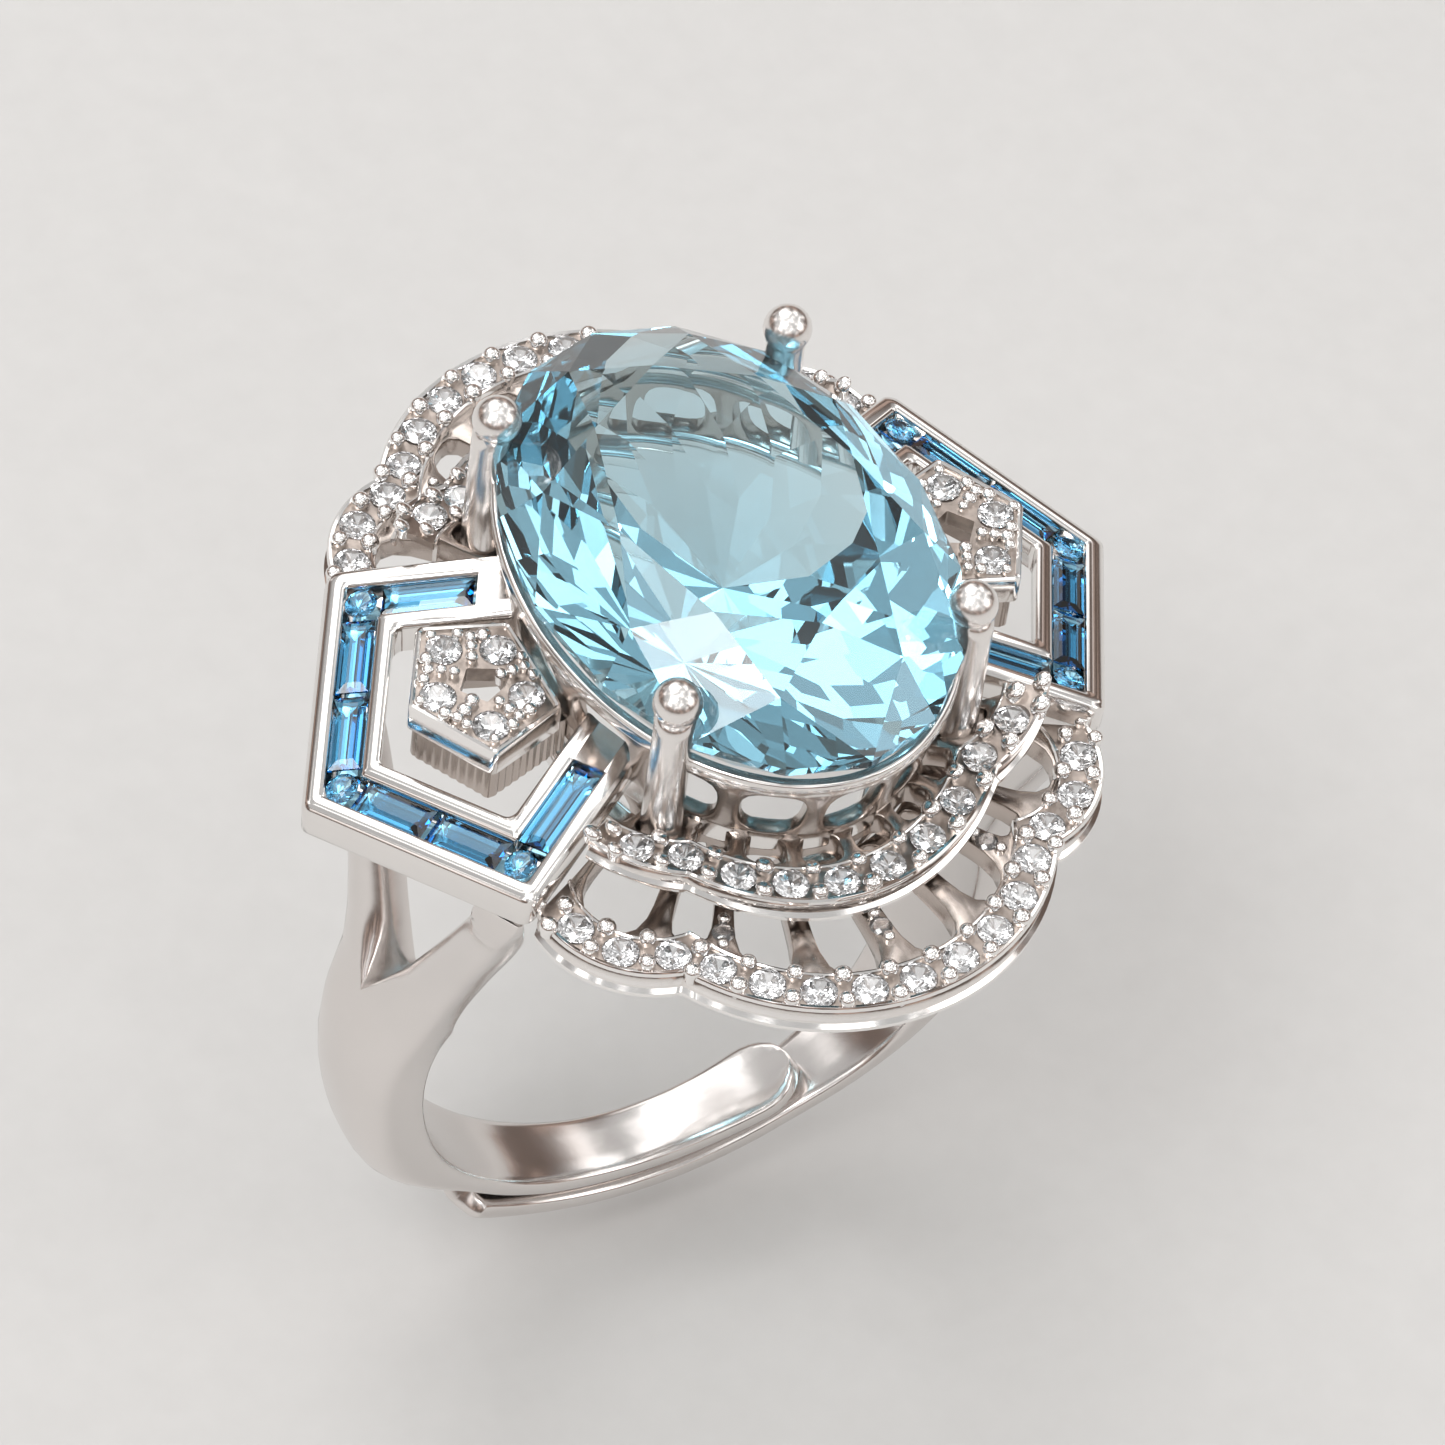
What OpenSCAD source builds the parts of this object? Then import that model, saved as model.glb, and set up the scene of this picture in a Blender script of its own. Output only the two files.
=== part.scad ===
// Adjustable cocktail ring: an oval stone on an open gallery, pentagon wings at both
// sides, two pave halos at the front and two at the back, and a split overlapping band.
// Millimetres, +Z up. The origin is the centre of the finger hole, +Y runs along the
// finger and +X through the right wing. The ring is symmetric front to back.

/* [Band] */
// Radius of the finger hole
finger_r = 8.5; // [8.4:0.05:8.6]
// Thickness of each band arm where the two arms overlap
arm_t = 0.85; // [0.8:0.05:0.9]
// Gap between the overlapping arms
arm_gap = 0.14; // [0.12:0.01:0.2]
// Thickness of the band at the shoulders
shoulder_t = 2.0; // [1.9:0.05:2.1]
// Half width of the band at the shoulders
shoulder_half_w = 1.95; // [1.9:0.05:2.05]
// Half width of the band at the bottom
bottom_half_w = 0.95; // [0.9:0.05:1.0]
// Angle past the bottom at which the inner arm ends
inner_arm_end = 31; // [29:1:33]
// Angle past the bottom at which the outer arm ends
outer_arm_end = 38; // [34:1:40]
// Height at which the shoulder splits into two prongs
fork_z = 2.8; // [2.6:0.1:3.0]

/* [Centre stone] */
// Half width of the oval stone, across the finger
stone_a = 5.65; // [5.5:0.05:5.8]
// Half length of the oval stone, along the finger
stone_b = 8.0; // [7.9:0.05:8.1]
// Height of the crown above the girdle
crown_h = 2.1; // [1.8:0.1:2.3]
// Depth of the pavilion below the girdle
pavilion_h = 5.4; // [5.0:0.1:5.6]
// Height of the girdle above the centre of the finger hole
girdle_z = 16.7; // [16.6:0.05:16.8]
// Diameter of a prong's stem
prong_d = 1.12; // [1.0:0.02:1.2]
// Diameter of the bead on top of a prong
prong_bead_d = 1.3; // [1.2:0.05:1.4]

/* [Wings] */
// Distance of a wing's outer point from the middle of the ring
wing_x = 12.0; // [11.9:0.05:12.1]
// Depth of the wing frame
wing_t = 1.15; // [1.0:0.05:1.3]
// Width of the rim outside the stone channel
rim_w = 0.55; // [0.5:0.05:0.6]
// Width of the stone channel
channel_w = 0.9; // [0.85:0.05:0.95]
// Width of the rim inside the stone channel
inner_rim_w = 0.5; // [0.45:0.05:0.55]
// Depth of the stone channel
channel_depth = 0.6; // [0.5:0.05:0.7]

/* [Halos] */
// Diameter of a halo stone
pave_d = 1.0; // [0.96:0.02:1.04]
// Diameter of a bead that holds the halo stones
pave_bead_d = 0.46; // [0.4:0.02:0.5]
// Half width of a halo band
halo_half_w = 0.62; // [0.58:0.02:0.66]
// Thickness of the inner halo
inner_halo_t = 0.85; // [0.8:0.05:0.95]
// Thickness of the outer halo
outer_halo_t = 1.0; // [0.9:0.05:1.1]

/* [Hidden] */
$fn = 64;

silver = [0.86, 0.86, 0.87];
sky_blue = [0.47, 0.80, 0.93];
teal_blue = [0.12, 0.50, 0.68];
white_stone = [0.93, 0.95, 0.98];

// A part that is larger than the whole ring in every direction
big = 40;
// Play between a stone and its seat
seat_play = 0.02;

// Shoulder pivots: the arms flex about these lines, in the middle of the band
pivot_x = finger_r + shoulder_t / 2;
knuckle_r = shoulder_t / 2;
knuckle_gap = 0.06;

// Nested radii of the two arms
inner_arm_out_r = finger_r + arm_t;
outer_arm_in_r = inner_arm_out_r + arm_gap;
outer_arm_out_r = outer_arm_in_r + arm_t;
shoulder_out_r = finger_r + shoulder_t;
// The outer arm's free end stands off a little further
arm_spring = 0.12;
// Radius of the inner arm's rounded free end
arm_end_r = bottom_half_w + 0.35;

// Wing plane: it slopes down from the middle of the ring to the wing's outer point
wing_slope = atan(0.36);
wing_tip_z = girdle_z - 5.05;
wing_corner = [wing_x - 3.55, 6.15];
tip_dir = [0.5, -0.866];
side_dir = [-0.866, -0.5];
channel_in = rim_w + channel_w / 2;
opening_in = rim_w + channel_w + inner_rim_w;
channel_end = 3.0;

// Raised pentagon inside each wing
pave_top_z = girdle_z - 2.25;
pave_plate_t = 0.9;
pave_plate_outline = [[9.1, 0], [7.75, 2.35], [5.15, 1.5], [5.15, -1.5], [7.75, -2.35]];
pave_spots = [[8.25, 0], [7.4, 1.4], [6.1, 0.85], [6.1, -0.85], [7.4, -1.4]];
pave_hole_at = [7.0, 0];
pave_hole_r = 0.5;
skirt_in = 0.3;
skirt_t = 0.35;
function skirt_outline(s) = [
    [9.1 - 1.17 * (skirt_in + s), 0], [7.75 - 0.45 * (skirt_in + s), 2.35 - 1.15 * (skirt_in + s)],
    [4.9, 1.4 - skirt_in - s], [4.9, -1.4 + skirt_in + s],
    [7.75 - 0.45 * (skirt_in + s), -2.35 + 1.15 * (skirt_in + s)]
];

// Oval outlines of the gallery, as fractions of the girdle's outline
seat_in = 0.95;
seat_out = 0.99;
seat_top_z = girdle_z - 0.6;
seat_t = 0.5;
band_in = 0.84;
band_out = 0.9;
band_top_z = girdle_z - 3.2;
band_h = 0.95;
rail_in = 0.68;
rail_out = 0.8;
rail_top_z = 10.3;
rail_t = 0.8;
post_d = 0.6;
post_count = 16;
plate_clear = 0.98;

// Halo lobes: each lobe is an arc of the stones' centre line
outer_top_z = girdle_z - 4.45;
outer_mid = [0, -5.82];
outer_mid_r = 5.8;
outer_mid_angles = [-52.8, -39.6, -26.4, -13.2, 0, 13.2, 26.4, 39.6, 52.8];
outer_side = [4.9, -5.95];
outer_side_r = 2.62;
outer_side_angles = [13, 43, 73];
outer_cut_y = -5.2;
// The inner halo is arched: its top is lowest in the middle and rises to both sides
inner_top_z = girdle_z - 3.75;
inner_arch_r = 16;
inner_mid = [0, -2.95];
inner_mid_r = 5.6;
inner_mid_angles = [-35.25, -21.15, -7.05, 7.05, 21.15, 35.25];
inner_side = [3.6, -3.3];
inner_side_r = 3.4;
inner_side_angles = [12.5, 34.5];
inner_cut_y = -4.2;

rib_angles = [-62, -46, -31, -15.5, 0, 15.5, 31, 46, 62];
rib_w = 0.5;
rib_top_z = girdle_z - 3.65;
rib_h = 1.0;
rib_origin = [0, -2.0];
strut_angles = [-41, -29, -14.5, 0, 14.5, 29, 41];
strut_w = 0.55;
strut_origin = [0, -1.2];
strut_h = 0.7;
// Under the inner halo a strut rises to meet it, this far out and in from its stones
strut_rise_out = 0.3;
strut_rise_in = 0.4;
// Angle and distance of each stone on a strut
strut_stone_places = [[-29, 8.0], [0, 8.4], [29, 8.0]];
strut_stone_d = 0.62;

prong_at = [4.35, 5.3];
prong_bead_z = girdle_z + 1.35;
prong_elbow_z = girdle_z - 4.2;
prong_foot_d = 0.9;

// ---- small helpers ----

// A point at an angle from straight down (or from the front, seen from above)
function polar(c, r, angle) = [c[0] + r * sin(angle), c[1] - r * cos(angle)];
function smooth(t) = let (u = min(max(t, 0), 1)) u * u * (3 - 2 * u);
function oval(k, count = 64) =
    [for (i = [0:count - 1]) [k * stone_a * cos(360 * i / count), k * stone_b * sin(360 * i / count)]];

module oval_prism(k, z0, z1) {
    translate([0, 0, z0])
        linear_extrude(height = z1 - z0)
            polygon(oval(k));
}

// A round bar from p to q
module bar(p, q, d) {
    v = q - p;
    l = norm(v);
    translate(p)
        rotate([0, acos(v[2] / l), atan2(v[1], v[0])])
            cylinder(h = l, d = d, $fn = 32);
}

module mirror_x(on) {
    if (on) mirror([1, 0, 0]) children();
    else children();
}

module mirror_y(on) {
    if (on) mirror([0, 1, 0]) children();
    else children();
}

// Extrudes a drawing of [x, z] points along Y, centred on y = 0
module along_y(half_w) {
    rotate([90, 0, 0])
        translate([0, 0, -half_w])
            linear_extrude(height = 2 * half_w)
                children();
}

// Extrudes a drawing of [y, z] points along X, from x0 to x1
module along_x(x0, x1) {
    translate([x0, 0, 0])
        rotate([90, 0, 90])
            linear_extrude(height = x1 - x0)
                children();
}

// A brilliant-cut round stone, as a short crown and a pointed pavilion, table at z
module round_stone(at, z, d, play = 0) {
    r = d / 2 + play;
    translate([at[0], at[1], z - 0.2]) {
        cylinder(h = 0.2 + play, r1 = r, r2 = 0.6 * r, $fn = 32);
        translate([0, 0, -0.45])
            cylinder(h = 0.45, r1 = 0.12 * r, r2 = r, $fn = 32);
    }
}

// ---- band ----

// Radius of each arm's inner and outer side at an angle from the bottom
function inner_arm_out(angle) =
    inner_arm_out_r + (shoulder_out_r - inner_arm_out_r) * smooth((-angle - 42) / 26);
function outer_arm_in(angle) =
    outer_arm_in_r - (outer_arm_in_r - finger_r) * smooth((angle - 40) / 42)
    + arm_spring * smooth((-angle - 10) / 28);
function outer_arm_out(angle) =
    outer_arm_out_r - (outer_arm_out_r - shoulder_out_r) * smooth((angle - 40) / 42)
    + arm_spring * smooth((-angle - 10) / 28);

// The band's width, seen from the side, from the shoulders down to the bottom
band_width_outline = [
    [shoulder_half_w, 1], [shoulder_half_w, 0], [shoulder_half_w - 0.1, -3],
    [bottom_half_w + 0.55, -6], [bottom_half_w + 0.25, -8], [bottom_half_w + 0.05, -9.2],
    [bottom_half_w, -12], [-bottom_half_w, -12], [-bottom_half_w - 0.05, -9.2],
    [-bottom_half_w - 0.25, -8], [-bottom_half_w - 0.55, -6],
    [-shoulder_half_w + 0.1, -3], [-shoulder_half_w, 0], [-shoulder_half_w, 1]
];

module band_width() {
    along_x(-20, 20)
        polygon(band_width_outline);
}

module knuckle(side, r) {
    translate([side * pivot_x, 0, 0])
        rotate([90, 0, 0])
            cylinder(h = 2 * shoulder_half_w, r = r, center = true);
}

module finger_hole() {
    rotate([90, 0, 0])
        cylinder(h = big, r = finger_r, center = true, $fn = 128);
}

// A round post across the band, whose outline rounds the inner arm's free end
module rounded_end(angle) {
    rotate([0, -angle, 0])
        translate([0, 0, -12.5])
            cylinder(h = 6, r = arm_end_r);
}

module shank_arm_left() {
    step = 3;
    last = inner_arm_end - arm_end_r / finger_r * 180 / PI;
    angles = [for (a = [-90:step:0]) a];
    color(silver)
        difference() {
            intersection() {
                union() {
                    along_y(3)
                        polygon(concat(
                            [for (a = angles) polar([0, 0], inner_arm_out(a), a)],
                            [for (a = [step:step:last]) polar([0, 0], inner_arm_out_r, a)],
                            [polar([0, 0], inner_arm_out_r, last)],
                            [polar([0, 0], finger_r - 0.6, last), [-finger_r + 1.6, -0.4]],
                            [[-finger_r + 0.6, 0]]
                        ));
                    intersection() {
                        rounded_end(last);
                        rotate([90, 0, 0])
                            cylinder(h = big, r = inner_arm_out_r, center = true, $fn = 128);
                    }
                    knuckle(-1, knuckle_r);
                }
                band_width();
            }
            finger_hole();
        }
}

module shank_arm_right() {
    step = 3;
    angles = [for (a = [90:-step:-outer_arm_end]) a];
    back = [for (i = [len(angles) - 1:-1:0]) angles[i]];
    color(silver)
        difference() {
            intersection() {
                union() {
                    along_y(3)
                        polygon(concat(
                            [for (a = angles) polar([0, 0], outer_arm_out(a), a)],
                            [for (a = back) polar([0, 0], outer_arm_in(a), a)]
                        ));
                    knuckle(1, knuckle_r);
                }
                band_width();
            }
            finger_hole();
        }
}

// Side view of a shoulder, from the knuckle up to the wing
fork_side_outline = [
    [shoulder_out_r, 0], [shoulder_out_r - 0.2, 1.4], [shoulder_out_r - 0.75, 2.8],
    [9.3, 4.2], [9.05, 6.2], [8.95, 8.2], [9.0, 9.8], [9.35, 11.2], [9.9, 13],
    [8.7, 13], [8.2, 11.2], [7.85, 9.8], [7.8, 8.2], [7.85, 6.2], [8.0, 4.2], [8.0, 2.6], [7.3, 0]
];
// Front view of a shoulder: it widens upwards around a slot
fork_edge = [[shoulder_half_w, 0], [2.15, 2], [2.65, 4], [3.6, 6.5], [4.75, 9], [5.7, 11.3], [6.2, 13]];
fork_slot_top = 5.3;

module shoulder_fork(left) {
    color(silver)
        mirror_x(left)
            difference() {
                intersection() {
                    wing_prism(0);
                    along_y(8)
                        polygon(fork_side_outline);
                    along_x(5, 12)
                        polygon(concat(fork_edge, [for (i = [len(fork_edge) - 1:-1:0])
                            [-fork_edge[i][0], fork_edge[i][1]]]));
                }
                along_x(5, 12)
                    polygon([[0, fork_z], [fork_slot_top, 13.2], [-fork_slot_top, 13.2]]);
                knuckle(1, knuckle_r + knuckle_gap);
                wing_layer(-5, wing_t);
                finger_hole();
            }
}

// ---- wings ----

// The wing's outline, moved inwards by s; it runs in as far as the gallery
function wing_outline(s) =
    let (c = [wing_corner[0] + s * (tip_dir[0] + side_dir[0]), wing_corner[1] + s * (tip_dir[1] + side_dir[1])],
         e = [c[0] + 5.2 * side_dir[0], c[1] + 5.2 * side_dir[1]])
    [[wing_x - s / sin(60), 0], c, e, [e[0], -e[1]], [c[0], -c[1]]];

// The space between two planes parallel to the right wing, top and bottom depths below its top
module wing_layer(top, bottom) {
    translate([wing_x, 0, wing_tip_z])
        rotate([0, wing_slope, 0])
            translate([-16, -12, -bottom])
                cube([20, 24, bottom - top]);
}

module wing_prism(s) {
    linear_extrude(height = big)
        polygon(wing_outline(s));
}

// Corners of the stone channel's centre line, from the front end round the tip to the back
channel_tip = [wing_x - channel_in / sin(60), 0];
channel_corner = wing_corner + channel_in * (tip_dir + side_dir);
channel_stop = channel_corner + channel_end * side_dir;

function flip(p) = [p[0], -p[1]];

// A straight length of channel, or of a stone in it: it starts and ends short of p and q
module channel_run(p, q, w, start, stop) {
    v = q - p;
    translate([p[0], p[1], 0])
        rotate([0, 0, atan2(v[1], v[0])])
            translate([start, -w / 2, 0])
                cube([norm(v) - start - stop, w, big]);
}

module channel_space() {
    intersection() {
        union() {
            for (p = [channel_tip, channel_corner, flip(channel_corner)])
                translate([p[0], p[1], 0])
                    cylinder(h = big, d = channel_w, $fn = 32);
            channel_run(channel_tip, channel_corner, channel_w, 0, 0);
            channel_run(channel_tip, flip(channel_corner), channel_w, 0, 0);
            channel_run(channel_corner, channel_stop, channel_w, 0, 0);
            channel_run(flip(channel_corner), flip(channel_stop), channel_w, 0, 0);
        }
        wing_layer(-1, channel_depth);
    }
}

module wing_frame(left) {
    color(silver)
        mirror_x(left)
            difference() {
                intersection() {
                    wing_prism(0);
                    wing_layer(0, wing_t);
                }
                wing_prism(opening_in);
                oval_prism(band_out, 0, big);
                oval_prism(plate_clear, band_top_z, big);
                channel_space();
            }
}

baguette_w = channel_w - 2 * seat_play;
tip_run = norm(channel_corner - channel_tip);
baguette_end = channel_w / 2 + 0.08;
baguette_len = (tip_run - 2 * baguette_end - 0.12) / 2;

module wing_baguettes(left) {
    color(teal_blue)
        mirror_x(left)
            intersection() {
                union()
                    for (corner = [channel_corner, flip(channel_corner)]) {
                        channel_run(channel_tip, corner, baguette_w, baguette_end, tip_run - baguette_end - baguette_len);
                        channel_run(channel_tip, corner, baguette_w, tip_run - baguette_end - baguette_len, baguette_end);
                        stop = corner[1] > 0 ? channel_stop : flip(channel_stop);
                        channel_run(corner, stop, baguette_w, baguette_end, 0.1);
                    }
                wing_layer(0.12, channel_depth - seat_play);
            }
}

module wing_round_stones(left) {
    color(teal_blue)
        mirror_x(left)
            intersection() {
                for (p = [channel_tip, channel_corner, flip(channel_corner)])
                    translate([p[0], p[1], 0])
                        cylinder(h = big, d = channel_w - 2 * seat_play, $fn = 32);
                wing_layer(0.06, channel_depth - seat_play);
            }
}

// ---- raised pentagons ----

module pave_plate(left) {
    bead_spots = [for (i = [0:4]) let (p = pave_spots[i], q = pave_spots[(i + 1) % 5]) (p + q) / 2];
    color(silver)
        mirror_x(left)
            difference() {
                union() {
                    translate([0, 0, pave_top_z - pave_plate_t])
                        linear_extrude(height = pave_plate_t)
                            polygon(pave_plate_outline);
                    for (p = bead_spots)
                        translate([p[0], p[1], pave_top_z + 0.02])
                            sphere(d = pave_bead_d, $fn = 24);
                }
                for (p = pave_spots) {
                    round_stone(p, pave_top_z + 0.1, pave_d, seat_play);
                    translate([p[0], p[1], 0])
                        cylinder(h = big, r = 0.22, $fn = 24);
                }
                translate([pave_hole_at[0], pave_hole_at[1], 0])
                    cylinder(h = big, r = pave_hole_r, $fn = 24);
                oval_prism(plate_clear, 0, big);
            }
}

module pave_stones(left) {
    color(white_stone)
        mirror_x(left)
            for (p = pave_spots)
                round_stone(p, pave_top_z + 0.1, pave_d);
}

// A thin wall under the raised pentagon, down to the level of the wing frame
module pave_skirt(left) {
    color(silver)
        mirror_x(left)
            difference() {
                translate([0, 0, band_top_z - band_h])
                    linear_extrude(height = pave_top_z - pave_plate_t - band_top_z + band_h)
                        polygon(skirt_outline(0));
                linear_extrude(height = big)
                    polygon(skirt_outline(skirt_t));
                oval_prism(band_out, 0, big);
            }
}

// ---- halos ----

// Places of the stones of a halo, in order from left to right
function halo_spots(mid, mid_r, mid_angles, side, side_r, side_angles) = concat(
    [for (i = [len(side_angles) - 1:-1:0]) let (p = polar(side, side_r, side_angles[i])) [-p[0], p[1]]],
    [for (a = mid_angles) polar(mid, mid_r, a)],
    [for (a = side_angles) polar(side, side_r, a)]
);
// The same places with the height of the halo's top
function arch_z(x) = inner_top_z + inner_arch_r - sqrt(inner_arch_r * inner_arch_r - x * x);
outer_spots = [for (p = halo_spots(outer_mid, outer_mid_r, outer_mid_angles, outer_side, outer_side_r,
    outer_side_angles)) [p[0], p[1], outer_top_z]];
inner_spots = [for (p = halo_spots(inner_mid, inner_mid_r, inner_mid_angles, inner_side, inner_side_r,
    inner_side_angles)) [p[0], p[1], arch_z(p[0])]];

// The lobes of a halo as round prisms, made larger or smaller by d
module lobes(mid, mid_r, side, side_r, d) {
    translate([mid[0], mid[1], 0])
        cylinder(h = big, r = mid_r + d);
    for (s = [1, -1])
        translate([s * side[0], side[1], 0])
            cylinder(h = big, r = side_r + d);
}

inner_half_w = halo_half_w - 0.04;
module inner_lobes(d) lobes(inner_mid, inner_mid_r, inner_side, inner_side_r, d);
module outer_lobes(d) lobes(outer_mid, outer_mid_r, outer_side, outer_side_r, d);

module both_wing_prisms() {
    wing_prism(0);
    mirror([1, 0, 0]) wing_prism(0);
}

// The space above an arched surface that lies d below the inner halo's top
module arch_space(d) {
    translate([0, 0, inner_top_z + inner_arch_r])
        rotate([90, 0, 0])
            cylinder(h = big, r = inner_arch_r + d, center = true, $fn = 256);
}

// A halo band with its seats and the pairs of beads between its stones
module halo_band(spots) {
    difference() {
        union() {
            children();
            for (i = [0:len(spots) - 2]) {
                v = spots[i + 1] - spots[i];
                m = (spots[i + 1] + spots[i]) / 2;
                n = [-v[1], v[0]] / norm(v) * 0.42;
                for (s = [1, -1])
                    translate([m[0] + s * n[0], m[1] + s * n[1], m[2] + 0.02])
                        sphere(d = pave_bead_d, $fn = 24);
            }
        }
        for (p = spots) {
            round_stone(p, p[2] + 0.1, pave_d, seat_play);
            translate([p[0], p[1], 0])
                cylinder(h = big, r = 0.22, $fn = 24);
        }
    }
}

module outer_halo(back) {
    color(silver)
        mirror_y(back)
            halo_band(outer_spots)
                difference() {
                    intersection() {
                        outer_lobes(halo_half_w);
                        translate([-big / 2, -big / 2, outer_top_z - outer_halo_t])
                            cube([big, big, outer_halo_t]);
                    }
                    outer_lobes(-halo_half_w);
                    both_wing_prisms();
                    translate([-big / 2, outer_cut_y, 0])
                        cube([big, big, big]);
                }
}

module inner_halo(back) {
    color(silver)
        mirror_y(back)
            halo_band(inner_spots)
                difference() {
                    intersection() {
                        inner_lobes(inner_half_w);
                        arch_space(inner_halo_t);
                    }
                    arch_space(0);
                    inner_lobes(-inner_half_w);
                    both_wing_prisms();
                    both_prong_stems();
                    translate([-big / 2, inner_cut_y, 0])
                        cube([big, big, big]);
                }
}

module halo_stones(spots, back) {
    color(white_stone)
        mirror_y(back)
            for (p = spots)
                round_stone(p, p[2] + 0.1, pave_d);
}

// Flat plates that fan out from a point under the stone, between radii r0 and r1
module fan(from, angles, w, r0, r1, z0, z1) {
    for (a = angles)
        translate([from[0], from[1], z0])
            rotate([0, 0, a - 90])
                translate([r0, -w / 2, 0])
                    cube([r1 - r0, w, z1 - z0]);
}

// Ribs from the gallery out to the inner halo's inner edge
module halo_ribs(back) {
    color(silver)
        mirror_y(back)
            intersection() {
                difference() {
                    fan(rib_origin, rib_angles, rib_w, 1.5, 9, rib_top_z - rib_h, rib_top_z);
                    oval_prism(band_out, 0, big);
                    both_wing_prisms();
                    both_prong_stems();
                }
                inner_lobes(-inner_half_w);
            }
}

// Struts from the gallery, under the inner halo, out to the outer halo's inner edge
module halo_struts(back) {
    z0 = outer_top_z - outer_halo_t;
    color(silver)
        mirror_y(back)
            difference() {
                intersection() {
                    union() {
                        fan(strut_origin, strut_angles, strut_w, 3, 14, z0, z0 + strut_h);
                        difference() {
                            intersection() {
                                fan(strut_origin, strut_angles, strut_w, 3, 14, z0, inner_top_z);
                                inner_lobes(strut_rise_out);
                            }
                            inner_lobes(-strut_rise_in);
                            arch_space(inner_halo_t);
                        }
                    }
                    outer_lobes(-halo_half_w);
                }
                oval_prism(band_out, 0, big);
                both_wing_prisms();
                both_prong_stems();
                for (q = strut_stone_places)
                    round_stone(polar(strut_origin, q[1], q[0]), z0 + strut_h + 0.1, strut_stone_d, seat_play);
            }
}

module strut_stones(back) {
    z = outer_top_z - outer_halo_t + strut_h + 0.1;
    color(white_stone)
        mirror_y(back)
            for (q = strut_stone_places)
                round_stone(polar(strut_origin, q[1], q[0]), z, strut_stone_d);
}

// ---- gallery and prongs ----

module seat_ring() {
    color(silver)
        difference() {
            oval_prism(seat_out, seat_top_z - seat_t, seat_top_z);
            oval_prism(seat_in, 0, big);
            for (sx = [1, -1])
                for (sy = [1, -1])
                    translate([sx * prong_at[0], sy * prong_at[1], 0])
                        cylinder(h = big, d = prong_d + 0.02, $fn = 48);
        }
}

module base_rail() {
    color(silver)
        difference() {
            oval_prism(rail_out, rail_top_z - rail_t, rail_top_z);
            oval_prism(rail_in, 0, big);
        }
}

// The rail at the gallery's mid height, which the wings and the ribs meet
module gallery_band() {
    color(silver)
        difference() {
            oval_prism(band_out, band_top_z - band_h, band_top_z);
            oval_prism(band_in, 0, big);
        }
}

// Leaning posts from the base rail to the band, and from the band to the seat ring
module gallery_posts() {
    low = (rail_in + rail_out) / 2;
    high = (seat_in + seat_out) / 2;
    color(silver)
        intersection() {
            for (i = [0:post_count - 1]) {
                a = 360 * (i + 0.5) / post_count;
                u = [stone_a * cos(a), stone_b * sin(a), 0];
                bar(low * u + [0, 0, rail_top_z - 0.3], high * u + [0, 0, seat_top_z - seat_t + 0.3], post_d);
            }
            union() {
                translate([-big / 2, -big / 2, rail_top_z])
                    cube([big, big, band_top_z - band_h - rail_top_z]);
                translate([-big / 2, -big / 2, band_top_z])
                    cube([big, big, seat_top_z - seat_t - band_top_z]);
            }
        }
}

// The leaning foot of a prong, from the base rail up to its elbow
module prong_foot(at, d) {
    foot_k = (rail_in + rail_out) / 2;
    bar([at[0] * foot_k, at[1] * foot_k, rail_top_z - 0.2], [at[0], at[1], prong_elbow_z], d);
}

// The front prongs with a little play, as a cutter for the pieces around them
module both_prong_stems() {
    for (s = [1, -1]) {
        translate([s * prong_at[0], -prong_at[1], 0])
            cylinder(h = big, d = prong_d + 0.04, $fn = 48);
        prong_foot([s * prong_at[0], -prong_at[1]], prong_foot_d + 0.06);
    }
}

// A stem with a bead on top and a leaning foot on the base rail
module prong(sx, sy) {
    at = [sx * prong_at[0], sy * prong_at[1]];
    color(silver)
        difference() {
            union() {
                translate([at[0], at[1], prong_elbow_z])
                    cylinder(h = prong_bead_z - prong_elbow_z, d = prong_d, $fn = 48);
                translate([at[0], at[1], prong_elbow_z])
                    sphere(d = prong_d, $fn = 32);
                translate([at[0], at[1], prong_bead_z])
                    sphere(d = prong_bead_d, $fn = 32);
                prong_foot(at, prong_foot_d);
            }
            stone_solid(0.03);
            translate([0, 0, rail_top_z - 5])
                cylinder(h = 5, r = big);
        }
}

// Girdle, table and a narrow keel joined by flat-sided crown and pavilion
module stone_solid(play) {
    k = 1 + play / stone_a;
    hull() {
        oval_prism(k, girdle_z - 0.15, girdle_z + 0.15);
        oval_prism(0.6 * k, girdle_z + crown_h - 0.02, girdle_z + crown_h + play);
        oval_prism(0.7 * k, girdle_z - 2.6, girdle_z - 2.58);
        translate([-0.15, -1.2, girdle_z - pavilion_h])
            cube([0.3, 2.4, 0.02]);
    }
}

module centre_stone() {
    color(sky_blue)
        stone_solid(0);
}

shank_arm_left();
shank_arm_right();
shoulder_fork(true);  // shoulder_fork_left
shoulder_fork(false);  // shoulder_fork_right
wing_frame(true);  // wing_frame_left
wing_frame(false);  // wing_frame_right
wing_baguettes(true);  // wing_baguettes_left
wing_baguettes(false);  // wing_baguettes_right
wing_round_stones(true);  // wing_round_stones_left
wing_round_stones(false);  // wing_round_stones_right
pave_plate(true);  // pave_plate_left
pave_plate(false);  // pave_plate_right
pave_stones(true);  // pave_stones_left
pave_stones(false);  // pave_stones_right
pave_skirt(true);  // pave_skirt_left
pave_skirt(false);  // pave_skirt_right
inner_halo(false);  // inner_halo_front
inner_halo(true);  // inner_halo_back
halo_stones(inner_spots, false);  // inner_halo_stones_front
halo_stones(inner_spots, true);  // inner_halo_stones_back
outer_halo(false);  // outer_halo_front
outer_halo(true);  // outer_halo_back
halo_stones(outer_spots, false);  // outer_halo_stones_front
halo_stones(outer_spots, true);  // outer_halo_stones_back
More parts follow.
